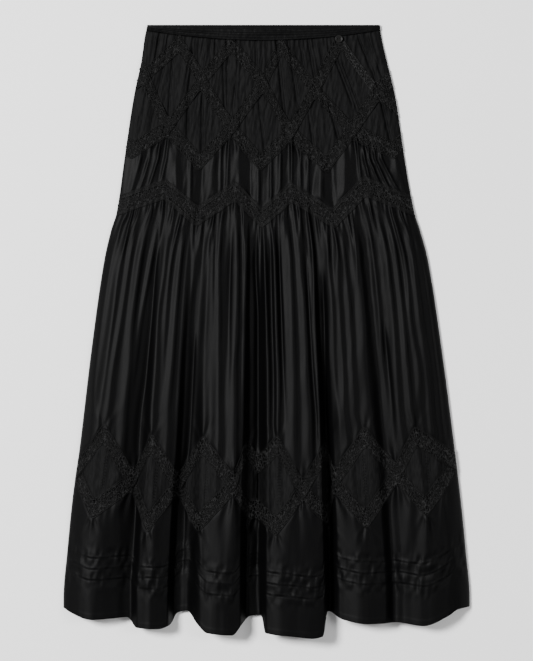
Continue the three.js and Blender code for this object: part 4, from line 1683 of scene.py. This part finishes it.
@dataclass
class Skirt:
    """The whole garment, from the waist down."""

    finishes: Wardrobe
    motifs: Motifs
    gap: float = 0.15
    columns: int = 440

    def seam(self, band: Band, way: int) -> Edge:
        """Give the line a hair above a band's middle, or below it, for a way of -1 or 1."""
        return shifted(CENTRE[band], way * self.gap)

    @staticmethod
    def inset_end(corner: tuple[float, float, float]) -> float:
        """Give how far short of a corner an inset ends: least where the fold hides the corner."""
        return 0.006 if corner[1] == corner[2] else 0.0012

    def fronts(self) -> None:
        """Make the front panels."""
        # The waistband takes the satin painted lighter: painted light.
        FrontWaistband().build(self.finishes.casing, self.motifs)
        for panel in (
            Panel(
                "yoke_front", UNDER_BAND, self.seam(Band.YOKE_BOTTOM, -1), 400, 84, (0.45, 0.20), Slot.VOILE,
                area=0.067,
            ),
            Panel(
                "hip_panel_front", self.seam(Band.YOKE_BOTTOM, 1), self.seam(Band.HIP, -1), 380, 46,
                (0.50, 0.13), Slot.SATIN, area=0.040,
            ),
            Panel(
                "tier_front", self.seam(Band.HIP, 1), self.seam(Band.DIAMOND_UPPER, -1), self.columns, 92,
                (0.70, 0.45), Slot.SATIN, area=0.23,
            ),
        ):
            panel.build(self.finishes.of(panel.slot))
        hem_tier = HemTier(
            "hem_tier_front", self.seam(Band.DIAMOND_LOWER, 1), HEM, self.columns, 26, (0.72, 0.26),
            Slot.SATIN, area=0.135,
        )
        hem_tier.build(self.finishes.satin, [hem_tier.stitches(self.finishes.satin, self.motifs)])
        self.insets()

    @staticmethod
    def inset_share(
        corner: tuple[float, float, float], tip: float, following: tuple[float, float, float], height: float
    ) -> float:
        """Give an inset's share of its rectangle: a half, or more where a corner is open in a fold.

        Args:
            corner: The inset's left corner, across and down on the upper and the lower lace.
            tip: How far across its tips stand.
            following: The inset's right corner.
            height: Distance between its tips, in millimetres.

        Returns:
            The share, from 0 to 1.
        """
        left, right = corner[2] - corner[1], following[2] - following[1]
        before, after = tip - corner[0], following[0] - tip
        return ((left + height) * before + (height + right) * after) / (2 * height * (before + after))

    def insets(self) -> None:
        """Make the diamond insets, each cut to its own diamond."""
        sides = zip(DIAMOND_CORNERS, DIAMOND_CORNERS[1:])
        tips = zip(DIAMOND_TOPS, DIAMOND_BOTTOMS)
        for number, ((corner, following), (top, bottom)) in enumerate(zip(sides, tips), 1):
            height = bottom[1] - top[1]
            start = corner[0] + self.inset_end(corner)
            end = following[0] - self.inset_end(following)
            width, length = CLOTH.reach(start, end, (top[1] + bottom[1]) / 2) * MM, height * MM
            share = self.inset_share(corner, (top[0] + bottom[0]) / 2, following, height)
            upper, lower = self.seam(Band.DIAMOND_UPPER, 1), self.seam(Band.DIAMOND_LOWER, -1)
            Inset(
                f"diamond_inset_{number}", upper, lower, 44, 34, (width, length), Slot.VOILE,
                start=start, end=end, area=width * length * share,
            ).dress_with(self.finishes.voile, self.finishes.satin, self.motifs)

    def laces(self) -> None:
        """Make the lace bands of the front."""
        bands = (
            LaceBand(
                # The top lace is painted lighter from 0.83 to 0.935 across: painted sheen.
                Band.YOKE_TOP, 300, (0.64, 0.019), NARROW_LACE, ceiling=UNDER_BAND, lustre=(0.83, 0.935),
            ),
            LaceBand(
                Band.YOKE_MIDDLE, 300, (0.70, 0.019), NARROW_LACE, over=(Band.YOKE_TOP, Band.YOKE_BOTTOM),
                ceiling=UNDER_BAND,
            ),
            LaceBand(Band.YOKE_BOTTOM, 300, (0.58, 0.021), NARROW_LACE),
            LaceBand(Band.HIP, 320, (0.57, 0.025)),
            LaceBand(Band.DIAMOND_LOWER, 360, (1.05, 0.021), NARROW_LACE),
            LaceBand(Band.DIAMOND_UPPER, 360, (1.05, 0.021), NARROW_LACE, over=(Band.DIAMOND_LOWER,)),
        )
        for band in bands:
            band.build(self.finishes.lace, self.motifs)

    def backs(self) -> None:
        """Make the flat back."""
        half, low_half = LACE_HEIGHT[Band.HIP] / 2, LACE_HEIGHT[Band.DIAMOND_UPPER] / 2
        hip, upper, lower = CENTRE[Band.HIP], CENTRE[Band.DIAMOND_UPPER], CENTRE[Band.DIAMOND_LOWER]
        hem = linear([(0, 869), (0.5, 873), (1, 869)])
        for panel in (
            BackPanel(
                "waistband_back", np.zeros_like, band_bottom, Slot.SATIN, (0.36, 0.02), top=2.4, wall=2.2,
            ),
            BackPanel(
                "yoke_back", UNDER_BAND, self.seam(Band.YOKE_BOTTOM, -1), Slot.VOILE, (0.41, 0.20),
                area=0.062,
            ),
            BackPanel(
                "hip_panel_back", self.seam(Band.YOKE_BOTTOM, 1), shifted(hip, -half - SEAM_GAP), Slot.SATIN,
                (0.44, 0.12), area=0.029,
            ),
            BackPanel("hip_lace_back", shifted(hip, -half), shifted(hip, half), Slot.LACE, (0.54, 0.025)),
            BackPanel(
                "tier_back", shifted(hip, half + SEAM_GAP), shifted(upper, -low_half - SEAM_GAP), Slot.SATIN,
                (0.57, 0.42), area=0.181, rows=24,
            ),
            BackPanel(
                "diamond_band_back", shifted(upper, -low_half), shifted(lower, low_half), Slot.LACE,
                (0.57, 0.16), area=0.052,
            ),
            BackPanel(
                "hem_tier_back", shifted(lower, low_half + SEAM_GAP), hem, Slot.SATIN, (0.61, 0.20),
                area=0.087, rows=14,
            ),
        ):
            panel.build(self.finishes.of(panel.slot))

    def build(self) -> None:
        """Make every piece of the garment."""
        self.backs()
        self.fronts()
        self.laces()
        Button().build(self.finishes.horn)
        self.motifs.clear()


def main() -> None:
    """Build the picture: camera, floor, lights and garment."""
    logging.basicConfig(level=logging.INFO, format="%(message)s")
    studio = Studio()
    studio.camera()
    studio.floor()
    studio.lights()
    Skirt(Wardrobe(), Motifs()).build()


if __name__ == "__main__":
    main()
